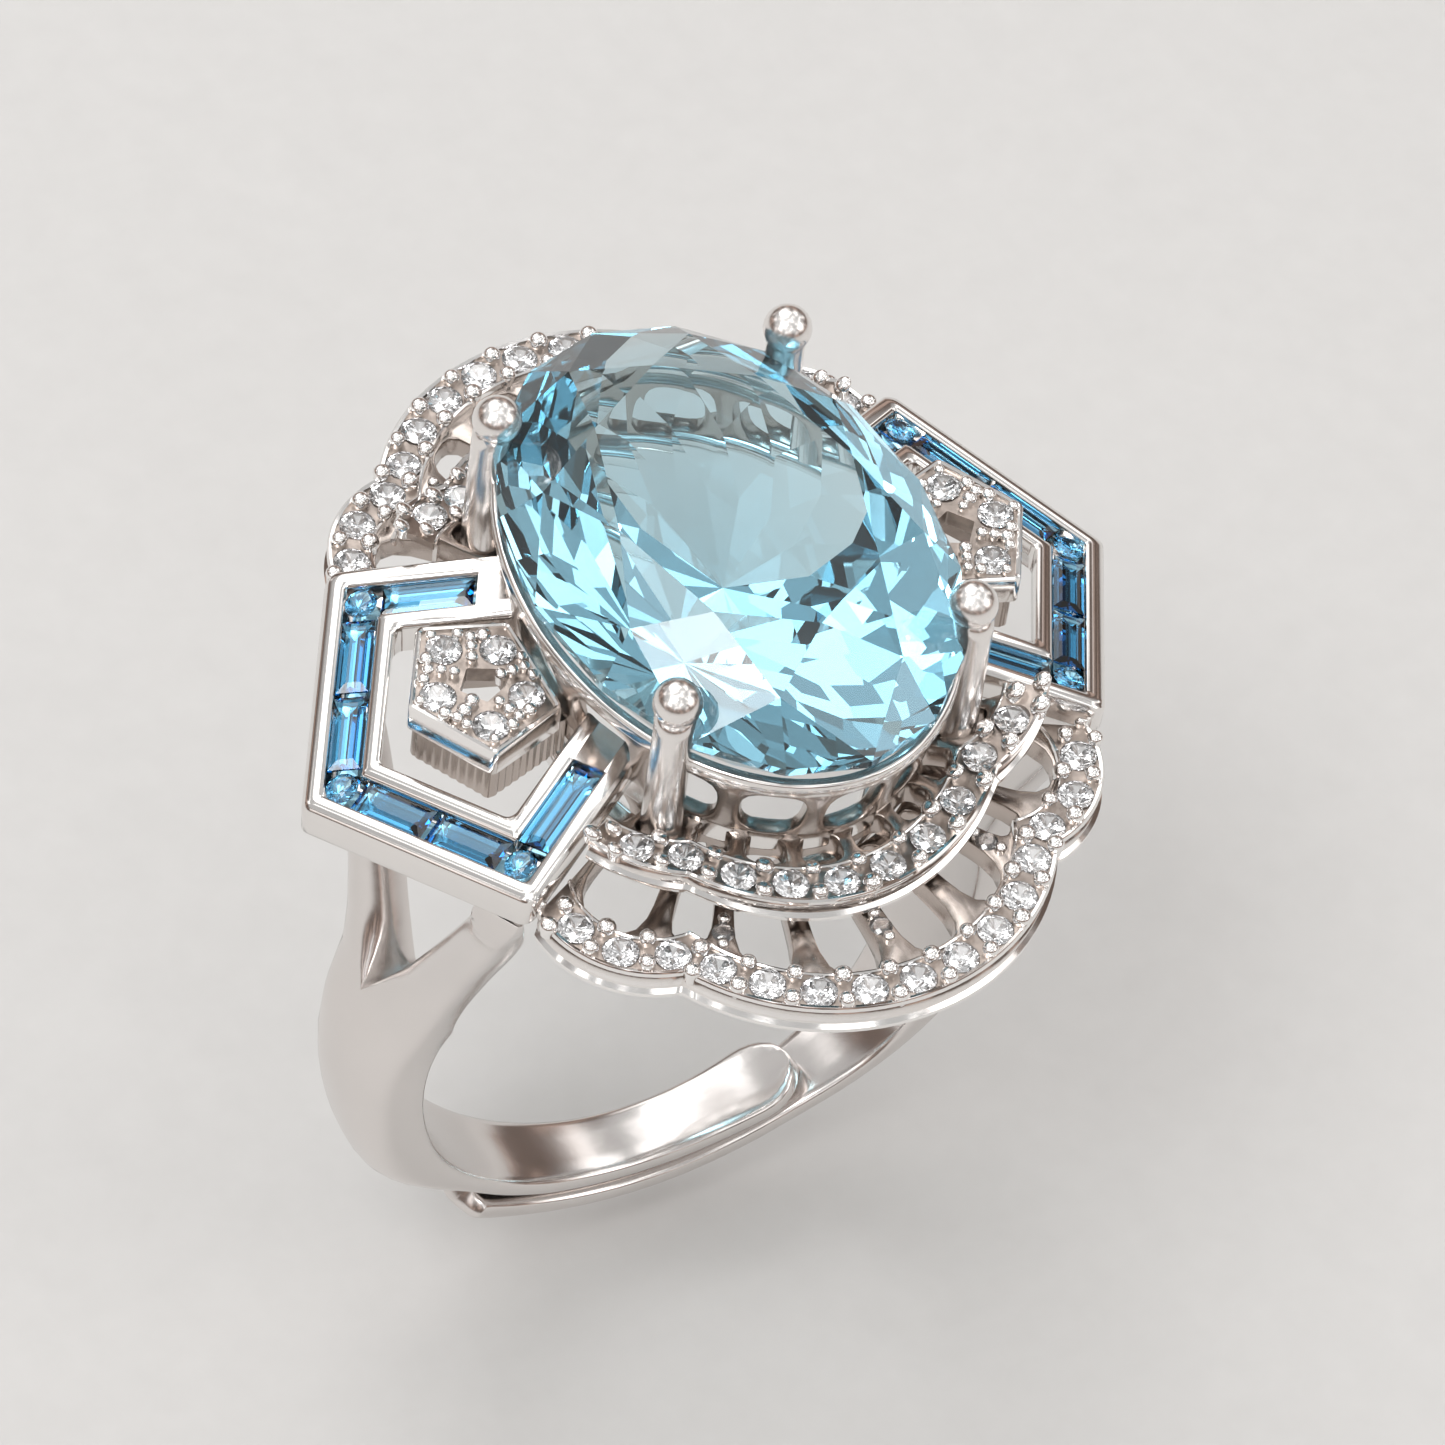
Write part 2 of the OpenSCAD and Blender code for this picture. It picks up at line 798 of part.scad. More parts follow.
halo_ribs(false);  // halo_ribs_front
halo_ribs(true);  // halo_ribs_back
halo_struts(false);  // halo_struts_front
halo_struts(true);  // halo_struts_back
strut_stones(false);  // strut_stones_front
strut_stones(true);  // strut_stones_back
seat_ring();
gallery_posts();
gallery_band();
base_rail();
prong(-1, -1);  // prong_front_left
prong(1, -1);  // prong_front_right
prong(-1, 1);  // prong_back_left
prong(1, 1);  // prong_back_right
centre_stone();
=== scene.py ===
"""Looks of an adjustable cocktail ring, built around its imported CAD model.

Lengths are in millimetres in the row frame (+Z up, +Y along the finger, origin at the centre of the
finger hole) and become metres where a mesh is made; the lights alone are given in metres. The ring is
the same in front and behind."""

import random
from math import acos, atan2, cos, degrees, pi, radians, sin, sqrt, tan

import bmesh
import bpy
from mathutils import Matrix, Vector
from mathutils.geometry import delaunay_2d_cdt


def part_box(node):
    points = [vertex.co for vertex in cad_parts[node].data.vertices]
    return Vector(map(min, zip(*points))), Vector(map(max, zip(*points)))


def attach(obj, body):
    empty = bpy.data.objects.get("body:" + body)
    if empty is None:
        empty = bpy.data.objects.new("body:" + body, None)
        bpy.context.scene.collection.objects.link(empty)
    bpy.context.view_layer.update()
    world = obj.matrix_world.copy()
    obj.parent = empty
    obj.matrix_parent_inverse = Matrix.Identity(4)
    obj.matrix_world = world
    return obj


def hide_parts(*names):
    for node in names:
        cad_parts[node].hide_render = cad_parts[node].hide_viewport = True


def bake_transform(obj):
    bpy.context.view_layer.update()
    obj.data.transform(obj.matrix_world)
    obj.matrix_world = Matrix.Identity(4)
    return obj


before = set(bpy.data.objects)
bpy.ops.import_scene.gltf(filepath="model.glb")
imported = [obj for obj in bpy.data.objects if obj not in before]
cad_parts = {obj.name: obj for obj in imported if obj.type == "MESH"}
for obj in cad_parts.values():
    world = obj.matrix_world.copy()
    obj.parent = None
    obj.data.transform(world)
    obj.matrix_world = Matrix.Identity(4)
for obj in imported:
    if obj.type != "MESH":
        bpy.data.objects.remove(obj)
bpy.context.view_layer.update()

MM = 0.001
rng = random.Random(7)


def node_box(node):
    """Lowest and highest corner of a CAD node, in millimetres."""
    lo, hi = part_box(node)
    return lo / MM, hi / MM


# ---- sizes from the frame

stone_lo, stone_hi = node_box("centre_stone")
STONE_A = (stone_hi.x - stone_lo.x) / 2
STONE_B = (stone_hi.y - stone_lo.y) / 2
CROWN_H = 2.1
GIRDLE_Z = stone_hi.z - CROWN_H
GIRDLE_HALF = 0.12

wing_hi = node_box("wing_frame_right")[1]
WING_X = wing_hi.x
WING_SLOPE = 0.36
WING_TIP_Z = GIRDLE_Z - 5.05
WING_CORNER = Vector((WING_X - 3.55, wing_hi.y))
TIP_DIR = Vector((0.5, -0.866))
SIDE_DIR = Vector((-0.866, -0.5))
RIM_W, CHANNEL_W, INNER_RIM_W = 0.55, 0.9, 0.5
INNER_RIM_AT = RIM_W + CHANNEL_W
OPENING_IN = INNER_RIM_AT + INNER_RIM_W
CHANNEL_IN = RIM_W + CHANNEL_W / 2
CHANNEL_END = 3.0

FINGER_R = 8.5
ARM_T, ARM_GAP, SHOULDER_T = 0.85, 0.14, 2.0
PIVOT_X = FINGER_R + SHOULDER_T / 2

PAVE_D = 1.0
HALO_HALF_W = 0.6
OUTER_TOP = node_box("outer_halo_stones_front")[1].z - 0.1
INNER_TOP = GIRDLE_Z - 3.75
INNER_ARCH_R = 16.0
OUTER_T, INNER_T = 1.0, 0.85
PAVE_TOP = node_box("pave_stones_right")[1].z - 0.1

band_lo, band_hi = node_box("gallery_band")
BAND_OUT = band_hi.x / STONE_A
# How deep pieces reach into the gallery's middle rail, as a share of the stone's half length
JOIN_K = 0.02
seat_lo, seat_hi = node_box("seat_ring")
rail_lo, rail_hi = node_box("base_rail")
RAIL_OUT = rail_hi.x / STONE_A
PRONG_AT = Vector((4.35, 5.3))
PRONG_BEAD_Z = GIRDLE_Z + 1.35


# ---- mesh helpers


class Shape:
    """Collects vertices (mm) and faces of one piece."""

    def __init__(self):
        self.verts = []
        self.faces = []

    def add(self, part, place=Matrix.Identity(4)):
        verts, faces = part
        start = len(self.verts)
        self.verts += [place @ Vector(v) for v in verts]
        self.faces += [[start + i for i in f] for f in faces]
        return self

    def moved(self, place):
        self.verts = [place @ v for v in self.verts]
        return self

    def object(self, name, material, smooth=None, weld=0.0, bevel=0.0):
        """Makes the Blender object. smooth is the angle in degrees up to which edges are shaded smooth."""
        mesh = bpy.data.meshes.new(name)
        bm = bmesh.new()
        made = [bm.verts.new(v * MM) for v in self.verts]
        for f in self.faces:
            corners = [made[i] for i in f]
            if len(set(corners)) > 2:
                try:
                    bm.faces.new(corners)
                except ValueError:
                    pass
        if weld:
            bmesh.ops.remove_doubles(bm, verts=bm.verts, dist=weld * MM)
        bmesh.ops.recalc_face_normals(bm, faces=bm.faces)
        bm.to_mesh(mesh)
        bm.free()
        obj = bpy.data.objects.new(name, mesh)
        bpy.context.scene.collection.objects.link(obj)
        if bevel:
            mod = obj.modifiers.new("bevel", "BEVEL")
            mod.width = bevel * MM
            mod.segments = 2
            mod.limit_method = "ANGLE"
            mod.angle_limit = radians(38)
            bpy.context.view_layer.update()
            evaluated = obj.evaluated_get(bpy.context.evaluated_depsgraph_get())
            obj.data = bpy.data.meshes.new_from_object(evaluated)
            obj.modifiers.clear()
            bpy.data.meshes.remove(mesh)
            mesh = obj.data
            mesh.name = name
        if smooth is not None:
            mesh.shade_smooth()
            mesh.set_sharp_from_angle(angle=radians(smooth))
        mesh.materials.append(material)
        return obj


def keep(obj, slot, *nodes):
    """The piece rides on the head and stands for CAD nodes, which it hides; slot is not used."""
    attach(obj, "head")
    if nodes:
        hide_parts(*nodes)


def rings(loops, closed=False):
    """A surface through closed loops of points, its ends capped, or joined where it is closed."""
    n = len(loops[0])
    verts = [p for loop in loops for p in loop]
    faces = []
    count = len(loops)
    for k in range(count if closed else count - 1):
        a, b = k * n, ((k + 1) % count) * n
        faces += [[a + i, a + (i + 1) % n, b + (i + 1) % n, b + i] for i in range(n)]
    if not closed:
        faces += [list(range(n))[::-1], [(count - 1) * n + i for i in range(n)]]
    return verts, faces


def around(r, z, count, phase=0.0):
    """Points of a level circle about the Z axis, turned by phase, a share of the step between them."""
    return [Vector((r * cos(a), r * sin(a), z))
            for a in (2 * pi * (i + phase) / count for i in range(count))]


def lathe(profile, sides, closed=False):
    """Turns a profile of (radius, z) about the Z axis."""
    return rings([around(r, z, sides) for r, z in profile], closed)


def mirrored(sx, sy=1):
    return Matrix.Diagonal((sx, sy, 1, 1))


def move_to(p, z=0):
    return Matrix.Translation((p[0], p[1], z))


def rounded_section(width, height, radius):
    """Points (across, up) of a rectangle with rounded corners, centred on the origin."""
    points, steps = [], 3
    for cx, cy, start in ((1, 1, 0), (-1, 1, 90), (-1, -1, 180), (1, -1, 270)):
        for k in range(steps + 1):
            a = radians(start + 90 * k / steps)
            points.append((cx * (width / 2 - radius) + radius * cos(a),
                           cy * (height / 2 - radius) + radius * sin(a)))
    return points


def oval(k, angle):
    """A point on the girdle's outline scaled by k, at a parameter angle in radians."""
    return Vector((k * STONE_A * cos(angle), k * STONE_B * sin(angle)))


def oval_normal(angle):
    return Vector((cos(angle) / STONE_A, sin(angle) / STONE_B)).normalized()


def oval_ring(k, z, section):
    """Sweeps a section of (outward, up) points around the oval outline scaled by k."""
    loops, count = [], 96
    for i in range(count):
        a = 2 * pi * i / count
        p, n = oval(k, a), oval_normal(a)
        loops.append([Vector((p.x + n.x * s, p.y + n.y * s, z + t)) for s, t in section])
    return rings(loops, closed=True)


def to_oval(start, direction, k, side):
    """How far from start the line along direction meets the oval outline scaled by k.

    It meets the outline twice: side is -1 for where it enters and 1 for where it leaves."""
    sx, sy = start.x / (k * STONE_A), start.y / (k * STONE_B)
    dx, dy = direction.x / (k * STONE_A), direction.y / (k * STONE_B)
    a, b, c = dx * dx + dy * dy, 2 * (sx * dx + sy * dy), sx * sx + sy * sy - 1
    return (-b + side * sqrt(max(b * b - 4 * a * c, 0))) / (2 * a)


def polar(centre, r, angle):
    """A point at an angle in degrees from straight forward (-Y), towards +X."""
    a = radians(angle)
    return Vector((centre[0] + r * sin(a), centre[1] - r * cos(a)))


# ---- materials


def new_material(name):
    mat = bpy.data.materials.new(name)
    mat.use_nodes = True
    return mat, mat.node_tree, mat.node_tree.nodes["Principled BSDF"]


def add_node(tree, kind, **values):
    """Adds a shader node and sets its inputs; _ in a keyword stands for a space in an input's name."""
    node = tree.nodes.new("ShaderNode" + kind)
    for name, value in values.items():
        node.inputs[name.replace("_", " ")].default_value = value
    return node


def noise(tree, scale, detail=2.0, space="Object"):
    """The output of a noise texture."""
    coords = add_node(tree, "TexCoord")
    texture = add_node(tree, "TexNoise", Scale=scale, Detail=detail)
    tree.links.new(coords.outputs[space], texture.inputs["Vector"])
    return texture.outputs["Fac"]


def ramp(tree, value, stops):
    """The output of a colour ramp through two stops, each a position and a colour."""
    tone = add_node(tree, "ValToRGB")
    for element, (position, colour) in zip(tone.color_ramp.elements, stops):
        element.position = position
        element.color = (*colour, 1)
    tree.links.new(value, tone.inputs["Fac"])
    return tone.outputs["Color"]


SCRATCH_SCALE, SCRATCH_DEPTH = 2600.0, 0.00002
CLOUD_EDGES, GEM_CLOUD_SCALE = (0.3, 0.7), 150.0
# How much glossier and duller than its roughness the clouds make a metal
GLOSS_LOW, GLOSS_HIGH = 0.7, 1.5


def silver(name, base, rough, scratch, blotch, cloud_scale=260.0):
    """Polished rhodium-plated silver: fine scratches in the gloss and a faint cloudy tone."""
    mat, tree, shader = new_material(name)
    shader.inputs["Metallic"].default_value = 1.0
    cloud = noise(tree, cloud_scale, 4.0)
    dark = [c * (1 - blotch) for c in base]
    tone = ramp(tree, cloud, ((CLOUD_EDGES[0], dark), (CLOUD_EDGES[1], base)))
    tree.links.new(tone, shader.inputs["Base Color"])
    gloss = add_node(tree, "MapRange", To_Min=rough * GLOSS_LOW, To_Max=rough * GLOSS_HIGH)
    tree.links.new(cloud, gloss.inputs["Value"])
    tree.links.new(gloss.outputs["Result"], shader.inputs["Roughness"])
    bump = add_node(tree, "Bump", Strength=scratch, Distance=SCRATCH_DEPTH)
    tree.links.new(noise(tree, SCRATCH_SCALE, 3.0), bump.inputs["Height"])
    tree.links.new(bump.outputs["Normal"], shader.inputs["Normal"])
    return mat


def gem(name, ior, surface, haze, clear=1.0, tint=None, density=0.0):
    """A cut stone, coloured by the light it absorbs inside (tint) and a little by its surface."""
    mat, tree, shader = new_material(name)
    shader.inputs["Roughness"].default_value = 0.0
    shader.inputs["Transmission Weight"].default_value = clear
    shader.inputs["IOR"].default_value = ior
    hazy = [c * (1 - haze) for c in surface]
    tone = ramp(tree, noise(tree, GEM_CLOUD_SCALE), ((0.0, hazy), (1.0, surface)))
    tree.links.new(tone, shader.inputs["Base Color"])
    if density:
        inside = add_node(tree, "VolumeAbsorption", Color=(*tint, 1), Density=density)
        tree.links.new(inside.outputs["Volume"], tree.nodes["Material Output"].inputs["Volume"])
    return mat


# Name, colour, roughness, depth of the scratches, darkening of the clouds
BAND_SILVER = silver("band_silver", (0.80, 0.765, 0.745), 0.17, 0.10, 0.06)
RIM_SILVER = silver("rim_silver", (0.86, 0.835, 0.815), 0.12, 0.06, 0.05)
# Its colour, darker and warmer than the band's, is painted shade on the ribs, struts, arches and skirt down
# in the setting.
SHADED_CAST_SILVER = silver("shaded_cast_silver", (0.58, 0.51, 0.465), 0.2, 0.25, 0.25)
BEAD_SILVER = silver("bead_silver", (0.93, 0.91, 0.895), 0.09, 0.08, 0.04)
PRONG_SILVER = silver("prong_silver", (0.90, 0.87, 0.85), 0.2, 0.05, 0.05)
# Its colour, darker and warmer still, is painted shade on the floors and collars under the small stones.
SHADED_RECESS_SILVER = silver("shaded_recess_silver", (0.56, 0.48, 0.43), 0.28, 0.5, 0.55, cloud_scale=1900.0)
SKY_STONE = gem("sky_blue_stone", 1.62, (0.92, 0.985, 1.0), haze=0.02, clear=0.975,
                tint=(0.13, 0.77, 0.97), density=74.0)
TEAL_STONE = gem("teal_stone", 1.62, (0.72, 0.93, 1.0), haze=0.05, tint=(0.04, 0.60, 0.84), density=1900.0)
WHITE_STONE = gem("white_stone", 2.1, (0.98, 0.985, 1.0), haze=0.03, clear=0.93)


# ---- cut stones

BRILLIANT_TABLE, BRILLIANT_CROWN, BRILLIANT_GIRDLE, BRILLIANT_PAVILION = 0.57, 0.32, 0.03, 0.8
# Where the lower girdle facets of a small stone end, as a share of its radius
LOWER_R = 0.25
OVAL_TABLE = 0.60
# The oval stone's pavilion: how far out each row of facet corners lies, and the first row's depth
PAVILION_RADII, FIRST_DROP = [1.0, 0.90, 0.76, 0.58, 0.36], 0.83


def crown(table_r, height, girdle_z):
    """Table, stars, kites and upper girdle facets of a brilliant with a girdle radius of 1."""
    half = cos(pi / 8)
    star_r = (1 + table_r) / 2 + 0.02
    top = girdle_z + height
    star_z = girdle_z + height * (1 - star_r * half) / (1 - table_r)
    table = around(table_r, top, 8)
    stars = around(star_r, star_z, 8, 0.5)
    girdle = around(1, girdle_z, 16)
    verts = table + stars + girdle
    faces = [list(range(8))]
    for k in range(8):
        k1, before = (k + 1) % 8, (k - 1) % 8
        g = 16 + 2 * k
        g1, g2 = g + 1, 16 + (2 * k + 2) % 16
        faces += [[k, 8 + k, k1], [k, 8 + before, g, 8 + k], [8 + k, g, g1], [8 + k, g1, g2]]
    return verts, faces


def brilliant():
    """A round brilliant with a girdle radius of 1 and its girdle at z = 0."""
    girdle = BRILLIANT_GIRDLE
    verts, faces = crown(BRILLIANT_TABLE, BRILLIANT_CROWN, girdle)
    low_z = -girdle - BRILLIANT_PAVILION * (1 - LOWER_R * cos(pi / 8))
    start = len(verts)
    verts = verts + around(1, -girdle, 16) + around(LOWER_R, low_z, 8, 0.5)
    verts.append(Vector((0, 0, -girdle - BRILLIANT_PAVILION)))
    low, tip = start + 16, start + 24
    faces += [[16 + i, 16 + (i + 1) % 16, start + (i + 1) % 16, start + i] for i in range(16)]
    for k in range(8):
        g, g1, g2 = start + 2 * k, start + 2 * k + 1, start + (2 * k + 2) % 16
        before = (k - 1) % 8
        faces += [[low + k, g, g1], [low + k, g1, g2], [tip, low + before, g, low + k]]
    return verts, faces


def net_pavilion(radii, first_drop, girdle_z, count):
    """A row of triangles under the girdle, and rows of flat kites from there to the point."""
    c = cos(pi / count)
    heights = [girdle_z, girdle_z - first_drop]
    for i in range(2, len(radii) + 1):
        r0, r1 = radii[i - 2], radii[i - 1]
        r2 = radii[i] if i < len(radii) else 0.0
        heights.append(heights[-2] + (heights[-1] - heights[-2]) * (r0 - r2) / (r0 - r1 * c))
    verts, faces = [], []
    for i, r in enumerate(radii):
        verts += around(r, heights[i], count, 0.5 * (i % 2))
    tip = len(verts)
    verts.append(Vector((0, 0, heights[-1])))

    def at(row, k):
        return tip if row >= len(radii) else row * count + k % count

    for k in range(count):
        faces.append([at(0, k), at(0, k + 1), at(1, k)])
    for row in range(len(radii) - 1):
        for k in range(count):
            side = k - 1 if row % 2 == 0 else k + 1
            faces.append([at(row, k), at(row + 1, side), at(row + 2, k), at(row + 1, k)])
    return verts, faces


def oval_stone():
    """The big stone: a brilliant crown over a pavilion of many small facets."""
    shape = Shape()
    place = Matrix.Translation((0, 0, GIRDLE_Z)) @ Matrix.Diagonal((STONE_A, STONE_B, 1, 1))
    shape.add(crown(OVAL_TABLE, CROWN_H - GIRDLE_HALF, GIRDLE_HALF), place)
    shape.add(net_pavilion(PAVILION_RADII, FIRST_DROP, -GIRDLE_HALF, 16), place)
    band = around(1, GIRDLE_HALF, 16) + around(1, -GIRDLE_HALF, 16)
    shape.add((band, [[i, (i + 1) % 16, 16 + (i + 1) % 16, 16 + i] for i in range(16)]), place)
    return shape


def step_cut(length, width, height, depth):
    """A baguette with its girdle at z = 0: two crown steps, a table and a keel."""
    # Each level's inset at the long sides and at the ends, as shares of the width, and its height
    levels = [(0.47, 0.5, -depth), (0.2, 0.2, -depth * 0.62), (0, 0, -0.03), (0, 0, 0.03),
              (0.13, 0.13, height * 0.62), (0.27, 0.27, height)]
    return rings([[Vector((sx * (length / 2 - width * end), sy * (width / 2 - width * side), z))
                   for sx, sy in ((1, 1), (-1, 1), (-1, -1), (1, -1))] for side, end, z in levels])


BRILLIANT = brilliant()


def place_stone(at, z, diameter, turn, tilt=(0, 0)):
    """Where a unit brilliant goes so that its table is at z."""
    r = diameter / 2
    lean = Matrix.Rotation(tilt[0], 4, "X") @ Matrix.Rotation(tilt[1], 4, "Y")
    return (move_to(at, z - (BRILLIANT_CROWN + BRILLIANT_GIRDLE) * r) @ lean
            @ Matrix.Rotation(turn, 4, "Z") @ Matrix.Diagonal((r, r, r, 1)))


keep(oval_stone().object("oval_centre_stone", SKY_STONE, weld=0.01), "sky_blue_stone", "centre_stone")


# ---- band and shoulders

INNER_ARM_END, OUTER_ARM_END = 31, 38
SHOULDER_OUT_R = FINGER_R + SHOULDER_T
INNER_ARM_OUT_R = FINGER_R + ARM_T
OUTER_ARM_IN_R = INNER_ARM_OUT_R + ARM_GAP
OUTER_ARM_OUT_R = OUTER_ARM_IN_R + ARM_T
ARM_SPRING = 0.12
# Lengths over which the arms' free ends are rounded, and distances of the stations near an end
INNER_TIP, OUTER_TIP = 1.4, 0.3
NEAR_END = [0.02, 0.1, 0.25, 0.5, 0.8, 1.1, 1.4]
STATION_TURN = 3.0
# The shoulder splits from FORK_Z up, which is one of its levels
FORK_Z, FORK_END_HALF = 2.8, 5.75
FORK_LEVELS = [FORK_Z + 0.4 * k for k in range(-6, 23)]
# The slot in the shoulder widens steadily from FORK_Z: its half width, and the height where it reaches it
SLOT_TOP = (5.3, 13.2)
# By height: the band's half width, and x of its outer and inner faces above the finger hole's middle
HALF_WIDTHS = [(-12, 0.95), (-9.2, 1.0), (-8, 1.2), (-6, 1.5), (-3, 1.85), (0, 1.95), (2, 2.15), (4, 2.65),
               (6.5, 3.6), (9, 4.75), (11.3, 5.7), (13, 6.2)]
FORK_OUT = [(0, 10.5), (1.4, 10.3), (2.8, 9.75), (4.2, 9.3), (6.2, 9.05), (8.2, 8.95), (9.8, 9.0),
            (11.2, 9.35), (13, 9.9)]
FORK_IN = [(0, 7.3), (2.6, 8.0), (4.2, 8.0), (6.2, 7.85), (8.2, 7.8), (9.8, 7.85), (11.2, 8.2), (13, 8.7)]
# The outer face is rounded off over this share of its width, down by this share of the thickness
ROUND_W, ROUND_D = 0.95, 0.52
BACK_W, BACK_D = 0.3, 0.14
# The slot's edges are rounded by these shares, in full where the slot is SLOT_FADE wide on each side
SLOT_W, SLOT_ROUND, SLOT_FADE = 0.4, 0.45, 0.8
WING_WALL = 0.14


def smooth(t):
    u = min(max(t, 0.0), 1.0)
    return u * u * (3 - 2 * u)


def curve(points, x):
    """A smooth curve through points (x, y), level past its ends."""
    x = min(max(x, points[0][0]), points[-1][0])
    i = max(k for k in range(len(points) - 1) if points[k][0] <= x)
    (x0, y0), (x1, y1) = points[i], points[i + 1]
    (xa, ya), (xb, yb) = points[max(i - 1, 0)], points[min(i + 2, len(points) - 1)]
    m0, m1 = (y1 - ya) / (x1 - xa), (yb - y0) / (xb - x0)
    h = x1 - x0
    t = (x - x0) / h
    return ((2 * t**3 - 3 * t**2 + 1) * y0 + (t**3 - 2 * t**2 + t) * h * m0
            + (3 * t**2 - 2 * t**3) * y1 + (t**3 - t**2) * h * m1)


def inner_arm(angle):
    """Inner and outer radius of an arm at an angle in degrees up from the bottom of the ring."""
    return FINGER_R, INNER_ARM_OUT_R + (SHOULDER_OUT_R - INNER_ARM_OUT_R) * smooth((angle - 42) / 26)


def outer_arm(angle):
    rise = smooth((angle - 40) / 42)
    spring = ARM_SPRING * smooth((-angle - 10) / 28)
    return (OUTER_ARM_IN_R - (OUTER_ARM_IN_R - FINGER_R) * rise + spring,
            OUTER_ARM_OUT_R - (OUTER_ARM_OUT_R - SHOULDER_OUT_R) * rise + spring)


def band_stations(radii, end_angle, tip):
    """Stations from the arm's free end up to the wing: outer point, inner point, half width, slot."""
    stations = []
    arc = radians(1) * FINGER_R
    angles = [-end_angle + d / arc for d in NEAR_END]
    angles += [angles[-1] + STATION_TURN * k for k in range(1, 60)]
    angles = [a for a in angles if a < 89] + [90]
    for a in angles:
        r_in, r_out = radii(a)
        c, s = cos(radians(a)), sin(radians(a))
        half = curve(HALF_WIDTHS, -(r_in + r_out) / 2 * c)
        from_tip = (a + end_angle) * arc
        if from_tip < tip:
            half *= sqrt(max(tip**2 - (tip - from_tip)**2, 0)) / tip
        stations.append((Vector((r_out * s, 0, -r_out * c)), Vector((r_in * s, 0, -r_in * c)), half, 0.0))
    for z in FORK_LEVELS:
        inner = max(sqrt(max(FINGER_R**2 - z**2, 0)), curve(FORK_IN, z))
        outer = curve(FORK_OUT, z)
        slot_y = max(0.0, SLOT_TOP[0] * (z - FORK_Z) / (SLOT_TOP[1] - FORK_Z))
        stations.append((Vector((outer, 0, z)), Vector((inner, 0, z)),
                         min(curve(HALF_WIDTHS, z), FORK_END_HALF), slot_y))
    return stations


def half_section(station):
    """Points of half a cross-section, from the slot's side over the outer face to the inner face."""
    out, inn, half, slot = station
    width = half - slot
    thick = (out - inn).length
    near_slot = min(slot / SLOT_FADE, 1.0)
    slot_w = width * SLOT_W * near_slot
    edge_w = (width - slot_w) * ROUND_W
    back_w = min(BACK_W, width * 0.3)
    points = []
    for k in range(5):
        a = pi / 2 * (1 - k / 4)
        points.append((slot + slot_w * (1 - sin(a)),
                       thick * SLOT_ROUND * near_slot * (1 - cos(a))))
    for k in range(9):
        a = pi / 2 * k / 8
        points.append((half - edge_w * (1 - sin(a)), thick * ROUND_D * (1 - cos(a))))
    for k in range(4):
        a = pi / 2 * k / 3
        points.append((half - back_w * (1 - cos(a)), thick - BACK_D * (1 - sin(a))))
    points.append((slot + (width - back_w) * 0.5, thick))
    points.append((slot, thick))
    inward = (inn - out).normalized()
    section = [out + inward * depth + Vector((0, y, 0)) for y, depth in points]
    # Near the wing, the outer face turns to lie flush with the wing's tip sides
    for p in section:
        p.x = min(p.x, WING_X - WING_WALL - p.y * tan(radians(30)))
    return section


def band_half(sx, radii, end_angle, tip):
    """One shoulder and its arm in one piece, on the side sx of the ring."""
    stations = band_stations(radii, end_angle, tip)
    sections = [half_section(s) for s in stations]
    n = len(sections[0])
    verts = [p for s in sections for p in s]
    faces = []
    for k in range(len(sections) - 1):
        a, b = k * n, (k + 1) * n
        faces += [[a + i, a + i + 1, b + i + 1, b + i] for i in range(n - 1)]
        if stations[k + 1][3] > 0:
            faces.append([a, b, b + n - 1, a + n - 1])
    last = (len(sections) - 1) * n
    faces += [list(range(n)), [last + i for i in range(n)]]
    shape = Shape()
    for sy in (1, -1):
        shape.add((verts, faces), mirrored(sx, sy))
    return shape


def make_band(sx, name, arm, fork, radii, end_angle, tip):
    obj = band_half(sx, radii, end_angle, tip).object(name, BAND_SILVER, smooth=48, weld=0.004, bevel=0.1)
    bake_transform(obj)
    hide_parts(arm, fork)


make_band(-1, "left_shoulder_and_inner_arm", "shank_arm_left", "shoulder_fork_left",
          inner_arm, INNER_ARM_END, INNER_TIP)
make_band(1, "right_shoulder_and_outer_arm", "shank_arm_right", "shoulder_fork_right",
          outer_arm, OUTER_ARM_END, OUTER_TIP)


# ---- wings

WING_PLANE = Matrix(((1, 0, 0, 0), (0, 1, 0, 0), (-WING_SLOPE, 0, 1, WING_TIP_Z + WING_SLOPE * WING_X),
                     (0, 0, 0, 1)))
WING_BOTTOM, CHANNEL_FLOOR, CHANNEL_COVER = -1.15, -0.62, -0.008
STOP_AT = CHANNEL_IN + CHANNEL_END
# Across the frame from its outer side: distance in, height, corner radius, and if it's in the channel,
# which is covered between its stones' end and the gallery
FRAME_PROFILE = [
    (0.12, WING_BOTTOM, 0.3, 0), (0.03, WING_BOTTOM + 0.16, 0.34, 0), (0.0, -0.26, 0.36, 0),
    (0.03, -0.1, 0.34, 0), (0.12, -0.015, 0.3, 0), (0.28, 0.012, 0.22, 0), (0.44, -0.01, 0.14, 0),
    (RIM_W - 0.03, -0.06, 0.1, 1), (RIM_W, -0.15, 0.08, 1), (RIM_W, CHANNEL_FLOOR, 0.06, 1),
    (INNER_RIM_AT, CHANNEL_FLOOR, 0.06, 1), (INNER_RIM_AT, -0.15, 0.08, 1),
    (INNER_RIM_AT + 0.03, -0.06, 0.1, 1), (1.55, -0.01, 0.14, 0), (1.7, 0.012, 0.2, 0),
    (1.84, -0.01, 0.24, 0), (1.92, -0.07, 0.26, 0), (OPENING_IN, -0.18, 0.28, 0),
    (OPENING_IN, WING_BOTTOM + 0.12, 0.28, 0), (OPENING_IN - 0.1, WING_BOTTOM, 0.26, 0)]


